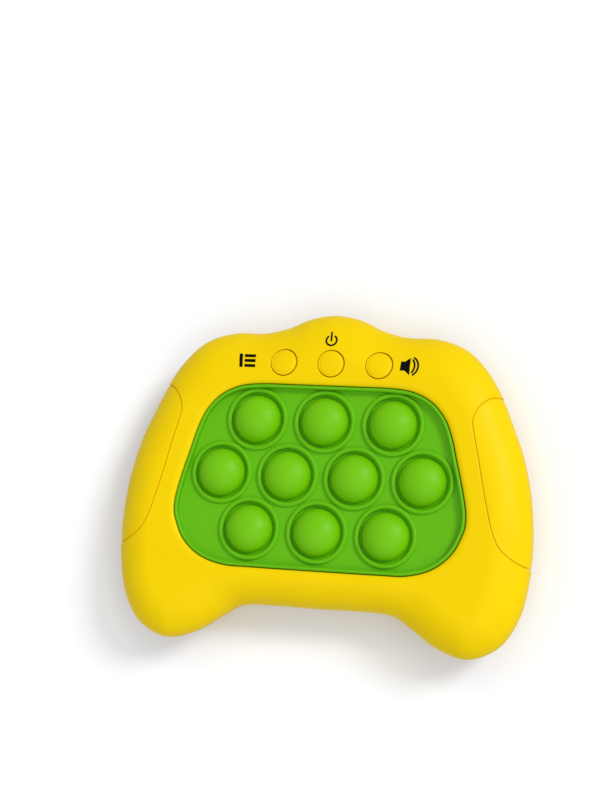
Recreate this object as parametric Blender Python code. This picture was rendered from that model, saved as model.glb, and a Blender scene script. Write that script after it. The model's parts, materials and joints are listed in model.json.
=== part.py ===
"""Electronic bubble pop game: ten press bubbles in a handheld casing shaped like a game pad.

Lengths are metres. The game lies on its flat back. +Z points out of the front face, +Y to the edge with
the three buttons and +X to the player's right. The origin is on the back face, under the middle.
"""
import math

import bmesh
import bpy
from mathutils import Matrix, Vector

mm = 0.001

# Fits and cutters
fit_gap = 0.3 * mm
overrun = 1.0 * mm

# Press bubbles
bubble_radius = 7.6 * mm
bubble_height = 5.8 * mm
bubble_wall = 1.2 * mm
bubble_skirt = 0.9 * mm
bubble_travel = 3.2 * mm
plunger_radius = 2.0 * mm

# Silicone mat
groove_width = 0.75 * mm
ridge_width = 1.6 * mm
ridge_height = 0.9 * mm
ring_gap = 1.98 * mm
middle_ring_gap = 1.6 * mm
row_nesting = 2.74 * mm
mat_thickness = 1.4 * mm
lip_width = 1.1 * mm
lip_drop = 0.3 * mm
flange_width = 1.8 * mm

# Window in the front shell
window_side_margin = 4.68 * mm
window_top_margin = 1.31 * mm
window_bottom_margin = 2.27 * mm
window_recess = 2.9 * mm
window_edge_radius = 2.0 * mm
window_outline_shares = (
    (0, 1), (0.25, 1), (0.447, 0.997), (0.595, 0.966), (0.724, 0.866), (0.822, 0.691), (0.878, 0.477),
    (0.916, 0.252), (0.956, 0.017), (0.992, -0.238), (1, -0.372), (0.988, -0.503), (0.917, -0.738),
    (0.79, -0.909), (0.624, -0.99), (0.457, -0.998), (0.229, -1), (0, -1))

# Casing
side_border = 20.34 * mm
top_border = 24.22 * mm
bottom_border = 23.91 * mm
front_rise = 9.0 * mm
wall = 2.4 * mm
shoulder_width = 12.2 * mm
top_shoulder_width = 15.0 * mm
rear_corner_width = 11.0 * mm
front_roundness_exponent = 1.73
rear_roundness_exponent = 2.2
locating_lip_height = 1.4 * mm
locating_lip_clearance = 0.95 * mm
locating_lip_thickness = 1.2 * mm
casing_outline_shares = (
    (0, 1), (0.121, 0.975), (0.232, 0.914), (0.349, 0.878), (0.497, 0.873), (0.637, 0.815),
    (0.742, 0.692), (0.82, 0.536), (0.88, 0.369), (0.935, 0.195), (0.981, -0.045), (1, -0.299),
    (0.992, -0.516), (0.956, -0.739), (0.871, -0.917), (0.731, -1), (0.585, -0.95), (0.46, -0.848),
    (0.365, -0.78), (0.175, -0.768), (0, -0.771))

# Grip panels
panel_thickness = 1.2 * mm
panel_sink = 0.15 * mm
panel_bottom = 4.0 * mm
panel_outline_shares = (
    (1.12, 0.53), (0.84, 0.527), (0.788, 0.522), (0.754, 0.494), (0.723, 0.442), (0.709, 0.384),
    (0.713, 0.334), (0.744, 0.171), (0.78, -0.032), (0.804, -0.152), (0.829, -0.26), (0.862, -0.347),
    (0.902, -0.395), (0.944, -0.429), (1, -0.458), (1.12, -0.51))

# Buttons and their switches
button_radius = 4.18 * mm
button_pitch = 15.77 * mm
button_row_gap = 0.37 * mm
button_row_offset = 1.2 * mm
button_proud = 0.3 * mm
button_travel = 0.8 * mm
button_flange_width = 0.7 * mm
button_flange_thickness = 0.8 * mm
switch_size = 6.0 * mm
switch_height = 1.0 * mm
switch_plunger_radius = 1.6 * mm

# Board and the parts on it
board_thickness = 1.2 * mm
board_margin = 1.0 * mm
board_tab_margin = 3.0 * mm
board_post_radius = 2.0 * mm
board_post_x_share = 0.66
board_post_y_share = 0.8
clamp_height = 3.5 * mm
clamp_inner_width = 2.2 * mm
led_size = 2.8 * mm
led_height = 0.8 * mm
led_offset = 4.3 * mm
chip_size = 7.0 * mm
chip_height = 1.4 * mm
chip_clearance = 3.65 * mm

# Batteries, their well and its door
battery_diameter = 10.5 * mm
battery_length = 44.5 * mm
battery_cap_radius = 1.9 * mm
battery_cap_length = 0.8 * mm
well_wall = 1.5 * mm
well_offset = 2.0 * mm
contact_thickness = 0.5 * mm
contact_width = 8.0 * mm
contact_tab_width = 2.0 * mm
contact_tab_length = 1.5 * mm
spring_length = 4.0 * mm
spring_base_radius = 3.4 * mm
spring_tip_radius = 2.0 * mm
spring_wire = 0.7 * mm
spring_turns = 3
door_thickness = 2.0 * mm
door_ledge = 1.2 * mm
door_ear = 7.0 * mm
door_tab_width = 6.0 * mm
door_tab_length = 1.8 * mm
door_tab_thickness = 1.0 * mm
door_tab_spacing = 28.0 * mm
door_slot_headroom = 1.3 * mm
door_screw_head_radius = 2.2 * mm
door_screw_head_height = 1.0 * mm
door_screw_radius = 1.0 * mm
door_screw_bite = 3.8 * mm
door_boss_radius = 2.8 * mm

# Casing screws
screw_radius = 1.3 * mm
screw_head_radius = 2.5 * mm
screw_head_height = 1.7 * mm
screw_head_flat_share = 0.8
screw_slot_depth = 0.7 * mm
screw_slot_width = 0.7 * mm
screw_seat_thickness = 6.0 * mm
screw_bite = 4.0 * mm
boss_wall = 1.4 * mm
screw_edge_distance = 9.5 * mm
lobe_screw_edge_distance = 13.0 * mm
screw_station_shares = (0.218, 0.437, 0.69)

# Speaker
speaker_radius = 10.0 * mm
speaker_height = 3.2 * mm
speaker_metal = 0.6 * mm
speaker_rim_width = 2.0 * mm
magnet_radius = 6.0 * mm
magnet_height = 3.0 * mm
speaker_offset = 9.0 * mm
speaker_clearance = 2.0 * mm
grille_hole_radius = 0.9 * mm
grille_inner_circle = 3.4 * mm
grille_outer_circle = 6.8 * mm

# Leads
lead_radius = 0.55 * mm
lead_spacing = 2.4 * mm
speaker_lead_run = 6.0 * mm

# Counts
outline_steps = 2
round_sides = 20
small_sides = 8
grille_sides = 6
grille_holes_per_circle = 6
tube_resolution = 1
lead_steps = 10
spring_steps_per_turn = 8

# Sizes that follow from those above
ring_radius = bubble_radius + fit_gap + groove_width + ridge_width
outer_row_pitch = 2 * ring_radius + ring_gap
middle_row_pitch = 2 * ring_radius + middle_ring_gap
row_pitch = 2 * ring_radius - row_nesting
window_half_width = 1.5 * middle_row_pitch + ring_radius + window_side_margin
window_top = row_pitch + ring_radius + window_top_margin
window_bottom = row_pitch + ring_radius + window_bottom_margin
window_half_length = (window_top + window_bottom) / 2
casing_half_width = window_half_width + side_border
casing_half_length = (window_top + top_border + window_bottom + bottom_border) / 2
layout_y = casing_half_length - window_top - top_border
window_y = layout_y + (window_top - window_bottom) / 2
button_row_y = (layout_y + window_top + flange_width + button_row_gap + button_flange_width
                + button_radius)

# Heights, from the back face up
well_ceiling = door_thickness + fit_gap + battery_diameter + fit_gap
well_top = well_ceiling + well_wall
board_bottom = well_top + fit_gap
board_top = board_bottom + board_thickness
clamp_bottom = board_top + fit_gap
clamp_top = clamp_bottom + clamp_height
mat_bottom = clamp_top + fit_gap
mat_floor = mat_bottom + mat_thickness
front_face = mat_floor + window_recess
front_underside = front_face - wall
parting = front_face - front_rise
screw_seat = parting - screw_seat_thickness

# Battery well, measured from its own middle
battery_pitch = battery_diameter + fit_gap
well_half_length = (battery_length + spring_length) / 2 + contact_thickness + 2 * fit_gap
well_half_width = battery_pitch + battery_diameter / 2 + fit_gap
battery_axis = door_thickness + fit_gap + battery_diameter / 2
door_half_length = well_half_length + door_ledge - fit_gap
door_top = well_offset + well_half_width + door_ledge - fit_gap
door_bottom = well_offset - well_half_width - door_ear
door_screw_y = door_bottom + (door_ear - door_ledge) / 2
speaker_x = -(well_half_length + well_wall + speaker_clearance + speaker_radius)
speaker_y = -speaker_offset
speaker_bottom = wall + fit_gap
chip_x = well_half_length + well_wall + chip_clearance + chip_size / 2


def remove_everything():
    """Clear the file of what it opened with."""
    for obj in list(bpy.data.objects):
        bpy.data.objects.remove(obj, do_unlink=True)


def material(name, colour, roughness, metallic=0.0):
    """A plain Principled material."""
    made = bpy.data.materials.new(name)
    made.use_nodes = True
    shader = made.node_tree.nodes["Principled BSDF"]
    shader.inputs["Base Color"].default_value = (*colour, 1.0)
    shader.inputs["Roughness"].default_value = roughness
    shader.inputs["Metallic"].default_value = metallic
    return made


# Outlines

def smooth_outline(points, steps, closed=True):
    """Points along a smooth curve through the given ones, with steps points to each stretch."""
    count = len(points)
    result = []
    for i in range(count if closed else count - 1):
        if closed:
            p0, p1, p2, p3 = (points[(i + k) % count] for k in (-1, 0, 1, 2))
        else:
            p0, p1 = points[max(i - 1, 0)], points[i]
            p2, p3 = points[i + 1], points[min(i + 2, count - 1)]
        for k in range(steps):
            result.append(curve_point(p0, p1, p2, p3, k / steps))
    if not closed:
        result.append(points[-1])
    return result


def curve_point(p0, p1, p2, p3, share):
    """A point between p1 and p2, with the slopes there taken from their neighbours by distance."""
    before, here, after = (p1 - p0).length, (p2 - p1).length, (p3 - p2).length
    slope1 = (p2 - p0) * (here / (before + here))
    slope2 = (p3 - p1) * (here / (here + after))
    square, cube = share ** 2, share ** 3
    return (p1 * (2 * cube - 3 * square + 1) + slope1 * (cube - 2 * square + share)
            + p2 * (3 * square - 2 * cube) + slope2 * (cube - square))


def mirrored_outline(shares, half_width, half_length, middle_y, steps):
    """The whole closed outline from the shares of its right half, listed from top to bottom."""
    right = [Vector((x * half_width, middle_y + y * half_length)) for x, y in shares]
    left = [Vector((-p.x, p.y)) for p in reversed(right[1:-1])]
    return smooth_outline(right + left, steps)


def outward_normals(loop):
    """The outward direction at each point of a closed outline that runs clockwise."""
    normals = []
    for i, point in enumerate(loop):
        along = loop[(i + 1) % len(loop)] - loop[i - 1]
        normals.append(Vector((-along.y, along.x)).normalized())
    return normals


def widened(loop, distance):
    """The outline moved outward by a distance, or inward where it is negative."""
    return [p + n * distance for p, n in zip(loop, outward_normals(loop))]


def distance_to(point, loop):
    """The least distance from a point to a closed outline."""
    least = math.inf
    for a, b in zip(loop, loop[1:] + loop[:1]):
        side = b - a
        share = min(max((point - a).dot(side) / side.dot(side), 0), 1)
        least = min(least, (point - a - side * share).length)
    return least


def seen_from_middle(loop, directions, middle):
    """For each direction point, where the line to it from the middle crosses the outline."""
    angles = sorted((math.atan2(p.y - middle.y, p.x - middle.x), (p - middle).length) for p in loop)
    angles = ([(angles[-1][0] - math.tau, angles[-1][1])] + angles
              + [(angles[0][0] + math.tau, angles[0][1])])
    found = []
    for p in directions:
        angle = math.atan2(p.y - middle.y, p.x - middle.x)
        index = next(i for i, entry in enumerate(angles) if entry[0] >= angle)
        (a0, r0), (a1, r1) = angles[index - 1], angles[index]
        radius = r0 + (r1 - r0) * (angle - a0) / (a1 - a0)
        found.append(middle + Vector((math.cos(angle), math.sin(angle))) * radius)
    return found


window_middle = Vector((0, window_y))
window = mirrored_outline(window_outline_shares, window_half_width, window_half_length, window_y,
                          outline_steps)
fine_window = mirrored_outline(window_outline_shares, window_half_width, window_half_length, window_y,
                               outline_steps * outline_steps * outline_steps)
casing = mirrored_outline(casing_outline_shares, casing_half_width, casing_half_length, 0, outline_steps)
casing_normals = outward_normals(casing)


def front_widths():
    """How far the rounded shoulder reaches in from each point of the casing's outline."""
    widths = []
    for point, normal in zip(casing, casing_normals):
        upward = max(normal.y, 0) ** 2
        wanted = shoulder_width + (top_shoulder_width - shoulder_width) * upward
        room = distance_to(point, fine_window) - window_edge_radius - fit_gap
        widths.append(min(wanted, room))
    return widths


casing_front_widths = front_widths()
casing_rear_widths = [rear_corner_width] * len(casing)


def rounded_point(width, height, roundness, turn, depth):
    """Inset and rise of a rounded shoulder at a turn of 0 to 90 degrees, a depth below its surface."""
    angle = math.radians(turn)
    cosine, sine = max(math.cos(angle), 0), math.sin(angle)
    out, up = cosine ** (2 / roundness), sine ** (2 / roundness)
    slope = Vector((out ** (roundness - 1) / width, up ** (roundness - 1) / height)).normalized()
    return width * (1 - out) + depth * slope.x, height * up - depth * slope.y


def shoulder_loop(widths, base, height, roundness, turn, depth=0):
    """One closed loop of points on the front shoulder, or on the rear one where height is negative."""
    rising = 1 if height > 0 else -1
    points = []
    for point, normal, width in zip(casing, casing_normals, widths):
        inset, rise = rounded_point(width, abs(height), roundness, turn, depth)
        place = point - normal * inset
        points.append(Vector((place.x, place.y, base + rising * rise)))
    return points


def front_loop(turn, depth=0, base=parting):
    """A loop of the front shell's shoulder. Its face stays at the same height for any base."""
    return shoulder_loop(casing_front_widths, base, front_face - base, front_roundness_exponent, turn, depth)


def rear_loop(turn, depth=0, base=parting):
    """A loop of the rear shell's rounded side."""
    return shoulder_loop(casing_rear_widths, base, -base, rear_roundness_exponent, turn, depth)


def flat_loop(loop, height):
    """A flat outline at a height."""
    return [Vector((p.x, p.y, height)) for p in loop]


def window_loop(outset, height):
    """The window's outline with one point facing each point of the casing's."""
    facing = [Vector((p.x, p.y)) for p in front_loop(90)]
    return flat_loop(seen_from_middle(widened(fine_window, outset), facing, window_middle), height)


def surface_height(distance, width, height, roundness, depth=0):
    """How high a shoulder stands at a distance in from the casing's outline, over the parting line."""
    turns = range(0, 91)
    places = [rounded_point(width, height, roundness, turn, depth) for turn in turns]
    for (inset0, rise0), (inset1, rise1) in zip(places, places[1:]):
        if inset0 <= distance <= inset1:
            return rise0 + (rise1 - rise0) * (distance - inset0) / (inset1 - inset0)
    return places[-1][1]


def front_height(distance, depth=0):
    """Height of the front shell's surface at a distance from the edge, on its widest shoulder."""
    return parting + surface_height(distance, top_shoulder_width, front_rise, front_roundness_exponent,
                                    depth)


def rear_height(distance, depth=0):
    """Height of the rear shell's surface at a distance from the edge."""
    return parting - surface_height(distance, rear_corner_width, parting, rear_roundness_exponent, depth)


# Meshes

def finish(name, bm, finish_material=None, place=(0, 0, 0), smooth_angle=None):
    """Turn a bmesh into a named object, with its faces pointing out."""
    bmesh.ops.recalc_face_normals(bm, faces=bm.faces)
    mesh = bpy.data.meshes.new(name)
    bm.to_mesh(mesh)
    bm.free()
    obj = bpy.data.objects.new(name, mesh)
    obj.location = place
    bpy.context.scene.collection.objects.link(obj)
    if finish_material:
        mesh.materials.append(finish_material)
    if smooth_angle:
        mesh.shade_smooth()
        mesh.set_sharp_from_angle(angle=math.radians(smooth_angle))
    return obj


def add_loft(bm, loops, capped=True):
    """Join loops of equal counts by quads. An open stack gets a face at each end."""
    rows = [[bm.verts.new(p) for p in loop] for loop in loops]
    pairs = list(zip(rows, rows[1:])) if capped else list(zip(rows, rows[1:] + rows[:1]))
    for lower, upper in pairs:
        for i in range(len(lower)):
            k = (i + 1) % len(lower)
            bm.faces.new((lower[i], lower[k], upper[k], upper[i]))
    if capped:
        bm.faces.new(rows[0])
        bm.faces.new(list(reversed(rows[-1])))


def add_turned(bm, profile, sides, middle=(0, 0, 0)):
    """Spin a profile of radius and height points round +Z. It runs closed, or from axis to axis."""
    base = Vector(middle)
    verts = [bm.verts.new(base + Vector((r, 0, z))) for r, z in profile]
    edges = [bm.edges.new(pair) for pair in zip(verts, verts[1:])]
    if profile[0][0] > 0:
        edges.append(bm.edges.new((verts[-1], verts[0])))
    made = bmesh.ops.spin(bm, geom=verts + edges, cent=base, axis=(0, 0, 1), angle=math.tau,
                          steps=sides, use_merge=True, use_duplicate=False)
    loose = verts + [item for item in made["geom_last"] if isinstance(item, bmesh.types.BMVert)]
    touched = {v for v in bm.verts if v in loose or abs((v.co - base).xy.length) < fit_gap / 100}
    bmesh.ops.remove_doubles(bm, verts=list(touched), dist=fit_gap / 100)


def add_cylinder(bm, radius, bottom, top, x=0, y=0, sides=round_sides):
    """An upright cylinder between two heights."""
    place = Matrix.Translation((x, y, (bottom + top) / 2))
    bmesh.ops.create_cone(bm, cap_ends=True, segments=sides, radius1=radius, radius2=radius,
                          depth=top - bottom, matrix=place)


def add_box(bm, low, high):
    """A block between two corners."""
    size = Vector(high) - Vector(low)
    place = Matrix.Translation((Vector(high) + Vector(low)) / 2) @ Matrix.Diagonal((*size, 1))
    bmesh.ops.create_cube(bm, size=1, matrix=place)


def helper(name, bm, place=(0, 0, 0)):
    """A shape that is only cut away from, joined to or shared with a part."""
    obj = finish(name, bm, place=place)
    obj.hide_render = True
    obj.display_type = 'WIRE'
    return obj


def combine(target, tool, operation, overlapping=False):
    """Cut, join or share two shapes by a Boolean modifier."""
    modifier = target.modifiers.new(tool.name, 'BOOLEAN')
    modifier.operation = operation
    modifier.solver = 'EXACT'
    modifier.use_self = overlapping
    modifier.object = tool


def tube(name, points, radius, finish_material):
    """A round tube along a route."""
    curve = bpy.data.curves.new(name, 'CURVE')
    curve.dimensions = '3D'
    curve.bevel_depth = radius
    curve.bevel_resolution = tube_resolution
    curve.use_fill_caps = True
    spline = curve.splines.new('POLY')
    spline.points.add(len(points) - 1)
    for spot, point in zip(spline.points, points):
        spot.co = (*point, 1)
    obj = bpy.data.objects.new(name, curve)
    bpy.context.scene.collection.objects.link(obj)
    if finish_material:
        curve.materials.append(finish_material)
    return obj


def as_mesh_helper(curve_object):
    """The same tube as a mesh, to join to a part."""
    bpy.context.view_layer.update()
    seen = curve_object.evaluated_get(bpy.context.evaluated_depsgraph_get())
    mesh = bpy.data.meshes.new_from_object(seen)
    name = curve_object.name
    bpy.data.objects.remove(curve_object, do_unlink=True)
    bm = bmesh.new()
    bm.from_mesh(mesh)
    bmesh.ops.remove_doubles(bm, verts=bm.verts, dist=fit_gap / 100)
    return helper(name, bm)


# Places that several parts share

def bubble_places():
    """Middles of the ten bubbles, row by row from the top."""
    places = []
    for y, pitch, count in ((row_pitch, outer_row_pitch, 3), (0, middle_row_pitch, 4),
                            (-row_pitch, outer_row_pitch, 3)):
        for i in range(count):
            places.append(Vector(((i - (count - 1) / 2) * pitch, layout_y + y)))
    return places


def button_places():
    """Middles of the menu, power and sound buttons."""
    return [Vector((button_row_offset + side * button_pitch, button_row_y)) for side in (-1, 0, 1)]


def casing_place(share, inset):
    """A place on the right half of the casing, at a share of the way from its top to its bottom."""
    half = casing[:len(casing) // 2 + 1]
    lengths = [0]
    for a, b in zip(half, half[1:]):
        lengths.append(lengths[-1] + (b - a).length)
    wanted = share * lengths[-1]
    index = next(i for i, length in enumerate(lengths) if length >= wanted)
    part = (wanted - lengths[index - 1]) / (lengths[index] - lengths[index - 1])
    point = half[index - 1].lerp(half[index], part)
    return point - casing_normals[index - 1].lerp(casing_normals[index], part) * inset


def screw_places():
    """Middles of the six casing screws with their distance from the casing's edge."""
    places = []
    for share in screw_station_shares:
        lobe = share == screw_station_shares[-1]
        inset = lobe_screw_edge_distance if lobe else screw_edge_distance
        point = casing_place(share, inset)
        places += [(point, inset), (Vector((-point.x, point.y)), inset)]
    return places


def panel_outline(side, margin):
    """The seam round a grip panel, from shares of the casing, closed outside it."""
    points = [Vector((x * casing_half_width, y * casing_half_length)) for x, y in panel_outline_shares]
    seam = smooth_outline(points, outline_steps, closed=False)
    seam = widened(list(reversed(seam)), margin)
    return [Vector((side * p.x, p.y)) for p in seam]


# Casing parts

def skin(name, outer_depth, inner_depth):
    """A layer that follows the whole casing's surface between two depths."""
    turns = (15, 30, 45, 60, 75)
    loops = []
    for depth, order in ((outer_depth, 1), (inner_depth, -1)):
        stack = [rear_loop(90, depth)] + [rear_loop(turn, depth) for turn in reversed(turns[1::2])]
        stack += [front_loop(0, depth)] + [front_loop(turn, depth) for turn in turns]
        stack += [front_loop(90, depth), window_loop(window_edge_radius, front_face - depth)]
        loops += stack[::order]
    bm = bmesh.new()
    add_loft(bm, loops, capped=False)
    return helper(name, bm)


def panel_block(name, side, margin, bottom):
    """An upright block inside a grip panel's seam."""
    bm = bmesh.new()
    outline = panel_outline(side, margin)
    add_loft(bm, [flat_loop(outline, bottom), flat_loop(outline, front_face + overrun)])
    return helper(name, bm)


def panel_recesses():
    """The two recesses that the grip panels sit in, as shapes to cut from both shells."""
    recesses = []
    for side, label in ((-1, "left"), (1, "right")):
        layer = skin(f"{label}_recess", -overrun, panel_sink + panel_thickness + fit_gap)
        block = panel_block(f"{label}_recess_block", side, fit_gap, panel_bottom - fit_gap)
        combine(layer, block, 'INTERSECT')
        recesses.append(layer)
    return recesses


def grip_panels(finish_material):
    """The two panels on the sides, each flush in both shells."""
    for side, label in ((-1, "left"), (1, "right")):
        panel = skin(f"{label}_grip_panel", panel_sink, panel_sink + panel_thickness)
        panel.hide_render = False
        panel.display_type = 'TEXTURED'
        panel.data.materials.append(finish_material)
        combine(panel, panel_block(f"{label}_panel_block", side, 0, panel_bottom), 'INTERSECT')


def front_shell(finish_material, recesses):
    """The front half of the casing, with its window, button holes and screw bosses."""
    base = parting + fit_gap / 2
    loops = [front_loop(turn, 0, base) for turn in (0, 22, 45, 67, 90)]
    for turn in (0, 45, 90):
        angle = math.radians(turn)
        outset = window_edge_radius * (1 - math.sin(angle))
        loops.append(window_loop(outset, front_face - window_edge_radius * (1 - math.cos(angle)) / 2))
    loops.append(window_loop(0, front_underside))
    loops += [front_loop(turn, wall, base) for turn in (90, 50, 20, 0)]
    bm = bmesh.new()
    add_loft(bm, loops, capped=False)
    shell = finish("front_shell", bm, finish_material, smooth_angle=40)

    bosses, holes = bmesh.new(), bmesh.new()
    for point, inset in screw_places():
        boss_radius = screw_radius + fit_gap + boss_wall
        top = front_height(inset - boss_radius) - wall / 2
        add_cylinder(bosses, boss_radius, parting + fit_gap, top, point.x, point.y, small_sides)
        add_cylinder(holes, screw_radius + fit_gap, parting - overrun, parting + screw_bite + fit_gap,
                     point.x, point.y, small_sides)
    for point in button_places():
        add_cylinder(holes, button_radius + fit_gap, parting, front_face + overrun, point.x, point.y)
    combine(shell, helper("front_bosses", bosses), 'UNION')
    combine(shell, helper("front_holes", holes), 'DIFFERENCE')
    for recess in recesses:
        combine(shell, recess, 'DIFFERENCE')


def rear_shell(finish_material, recesses):
    """The rear half, with its battery well, screw posts, board posts, speaker seat and grille."""
    base = parting - fit_gap / 2
    lip_outside = wall + locating_lip_clearance
    lip_inside = lip_outside + locating_lip_thickness
    lip_top = parting + locating_lip_height
    loops = [rear_loop(turn, 0, base) for turn in (90, 60, 30, 0)]
    for inset, height in ((lip_outside, base), (lip_outside, lip_top), (lip_inside, lip_top),
                          (lip_inside, base - locating_lip_height)):
        loops.append(flat_loop(widened(casing, -inset), height))
    loops += [rear_loop(turn, wall, base) for turn in (55, 90)]
    bm = bmesh.new()
    add_loft(bm, loops)
    shell = finish("rear_shell", bm, finish_material, smooth_angle=40)
    combine(shell, rear_additions(), 'UNION', overlapping=True)
    combine(shell, helper("door_boss", door_boss()), 'UNION')
    for tool in (rear_openings(), rear_bores()):
        combine(shell, tool, 'DIFFERENCE')
    for recess in recesses:
        combine(shell, recess, 'DIFFERENCE')


def rear_additions():
    """The well's walls, the posts and the speaker's seat, each rising from the floor."""
    bm = bmesh.new()
    half_length, half_width = well_half_length + well_wall, well_half_width + well_wall
    add_box(bm, (-half_length, well_offset - half_width, wall / 2),
            (half_length, well_offset + half_width, well_top))
    for point, inset in screw_places():
        post_radius = screw_head_radius + fit_gap + boss_wall / 2
        bottom = rear_height(inset - post_radius) + wall / 2
        add_cylinder(bm, post_radius, bottom, parting - fit_gap / 2, point.x, point.y, small_sides)
    for x in (-board_post_x_share, board_post_x_share):
        for y in (-board_post_y_share, board_post_y_share):
            add_cylinder(bm, board_post_radius, wall / 2, board_bottom - fit_gap, x * window_half_width,
                         window_y + y * window_half_length, small_sides)
    seat_inside = speaker_radius + fit_gap
    seat_outside = seat_inside + 2 * speaker_metal
    seat_top = wall + speaker_height
    add_turned(bm, [(seat_inside, wall / 2), (seat_outside, wall / 2), (seat_outside, seat_top),
                    (seat_inside, seat_top)], round_sides, (speaker_x, speaker_y, 0))
    return helper("rear_additions", bm)


def door_boss():
    """The post beside the well that the door's screw drives into."""
    bm = bmesh.new()
    top = door_thickness + fit_gap + door_screw_bite + fit_gap + wall
    add_box(bm, (-door_boss_radius, door_screw_y - door_boss_radius, wall / 2),
            (door_boss_radius, well_offset - well_half_width - well_wall / 2, top))
    return bm


def rear_openings():
    """The well, the door's seat in the back face and the slots for the door's tabs and the contacts."""
    bm = bmesh.new()
    add_box(bm, (-well_half_length, well_offset - well_half_width, -overrun),
            (well_half_length, well_offset + well_half_width, well_ceiling))
    openings = helper("well_opening", bm)
    seat = bmesh.new()
    half_length = door_half_length + fit_gap
    add_box(seat, (-half_length, door_bottom - fit_gap, -overrun),
            (half_length, door_top + fit_gap, door_thickness + fit_gap))
    combine(openings, helper("door_seat", seat), 'UNION')
    slots = bmesh.new()
    tab_half = door_tab_width / 2 + fit_gap
    tab_low = door_thickness - door_tab_thickness - fit_gap
    contact_half = contact_tab_width / 2 + fit_gap
    contact_rise = contact_thickness / 2 + fit_gap
    for side, row in ((-1, 1), (1, 3)):
        x = side * door_tab_spacing / 2
        add_box(slots, (x - tab_half, well_offset + well_half_width - overrun, tab_low),
                (x + tab_half, door_top + door_tab_length + fit_gap, door_thickness + door_slot_headroom))
        ends = sorted(side * reach for reach in (well_half_length - overrun,
                                                 well_half_length + well_wall + overrun))
        y = battery_row(row)[0]
        add_box(slots, (ends[0], y - contact_half, battery_axis - contact_rise),
                (ends[1], y + contact_half, battery_axis + contact_rise))
    combine(openings, helper("well_slots", slots), 'UNION')
    return openings


def rear_bores():
    """The screw bores, the door screw's hole and the speaker's grille."""
    bm = bmesh.new()
    head, shank = screw_head_radius + fit_gap, screw_radius + fit_gap
    top = parting + overrun
    for point, _ in screw_places():
        add_turned(bm, [(0, -overrun), (head, -overrun), (head, screw_seat), (shank, screw_seat),
                        (shank, top), (0, top)], small_sides, (point.x, point.y, 0))
    door_screw_end = door_thickness + fit_gap + door_screw_bite + fit_gap
    add_cylinder(bm, door_screw_radius + fit_gap, -overrun, door_screw_end, 0, door_screw_y, small_sides)
    for place in grille_places():
        add_cylinder(bm, grille_hole_radius, -overrun, wall + overrun, place.x, place.y, grille_sides)
    return helper("rear_bores", bm)


def grille_places():
    """One hole in the middle of the speaker and two circles of holes round it."""
    places = [Vector((speaker_x, speaker_y))]
    for circle, turn in ((grille_inner_circle, 0), (grille_outer_circle, 0.5)):
        for i in range(grille_holes_per_circle):
            angle = (i + turn) * math.tau / grille_holes_per_circle
            places.append(places[0] + Vector((math.cos(angle), math.sin(angle))) * circle)
    return places


# Mat and bubbles

def bubble_mat(finish_material):
    """The silicone sheet: its flange, the lip in the window, a ridge and a hole for each bubble."""
    flange_top = front_underside - fit_gap
    lip_top = front_face - lip_drop
    lip_round = lip_width / 3
    inside = fit_gap + lip_width
    steps = ((flange_width, mat_bottom), (flange_width, flange_top), (-fit_gap, flange_top),
             (-fit_gap, lip_top - lip_round), (-fit_gap - lip_round, lip_top),
             (lip_round - inside, lip_top - lip_round), (-inside, mat_floor))
    bm = bmesh.new()
    add_loft(bm, [flat_loop(widened(window, outset), height) for outset, height in steps])
    mat = finish("bubble_mat", bm, finish_material, smooth_angle=50)

    ridges, holes = bmesh.new(), bmesh.new()
    outside, inside = ring_radius, ring_radius - ridge_width
    foot, crest = mat_floor - mat_thickness / 2, mat_floor + ridge_height
    profile = [(inside, foot), (outside, foot), (outside, mat_floor), (outside - ridge_width / 2, crest),
               (inside, crest - ridge_height / 3)]
    for place in bubble_places():
        add_turned(ridges, profile, round_sides, (place.x, place.y, 0))
        add_cylinder(holes, bubble_radius + fit_gap, mat_bottom - overrun, crest + overrun, place.x,
                     place.y)
    combine(mat, helper("ridges", ridges), 'UNION', overlapping=True)
    combine(mat, helper("bubble_holes", holes), 'DIFFERENCE')


def bubbles(finish_material):
    """Ten hollow domes, each with a plunger inside that reaches for the board."""
    plunger_bottom = board_top + fit_gap + bubble_travel - mat_floor
    inner_radius, inner_height = bubble_radius - bubble_wall, bubble_height - bubble_wall
    plunger_top = inner_height * math.sqrt(1 - (plunger_radius / inner_radius) ** 2)
    middle_radius = (plunger_radius + inner_radius) / 2
    middle_height = inner_height * math.sqrt(1 - (middle_radius / inner_radius) ** 2)
    profile = [(0, plunger_bottom), (plunger_radius, plunger_bottom), (plunger_radius, plunger_top),
               (middle_radius, middle_height), (inner_radius, -bubble_skirt), (bubble_radius, -bubble_skirt)]
    for turn in (0, 25, 50, 72):
        angle = math.radians(turn)
        profile.append((bubble_radius * math.cos(angle), bubble_height * math.sin(angle)))
    profile.append((0, bubble_height))
    for number, place in enumerate(bubble_places(), start=1):
        bm = bmesh.new()
        add_turned(bm, profile, round_sides)
        finish(f"bubble_{number}", bm, finish_material, (place.x, place.y, mat_floor), smooth_angle=50)


def clamp_frame(finish_material):
    """The frame that presses the mat's flange against the front shell, and stands on the board."""
    outer = widened(window, flange_width)
    inner = widened(window, -clamp_inner_width)
    bm = bmesh.new()
    add_loft(bm, [flat_loop(outer, clamp_bottom), flat_loop(outer, clamp_top), flat_loop(inner, clamp_top),
                  flat_loop(inner, clamp_bottom)], capped=False)
    finish("mat_clamp_frame", bm, finish_material)


# Buttons

button_names = ("menu", "power", "sound")


def button_flange_height():
    """Top of the buttons' flanges, just under the lowest part of the shell over them."""
    reach = button_radius + button_flange_width
    nearest = min(distance_to(place, casing) for place in button_places())
    return front_height(nearest - reach, wall) - fit_gap


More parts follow.
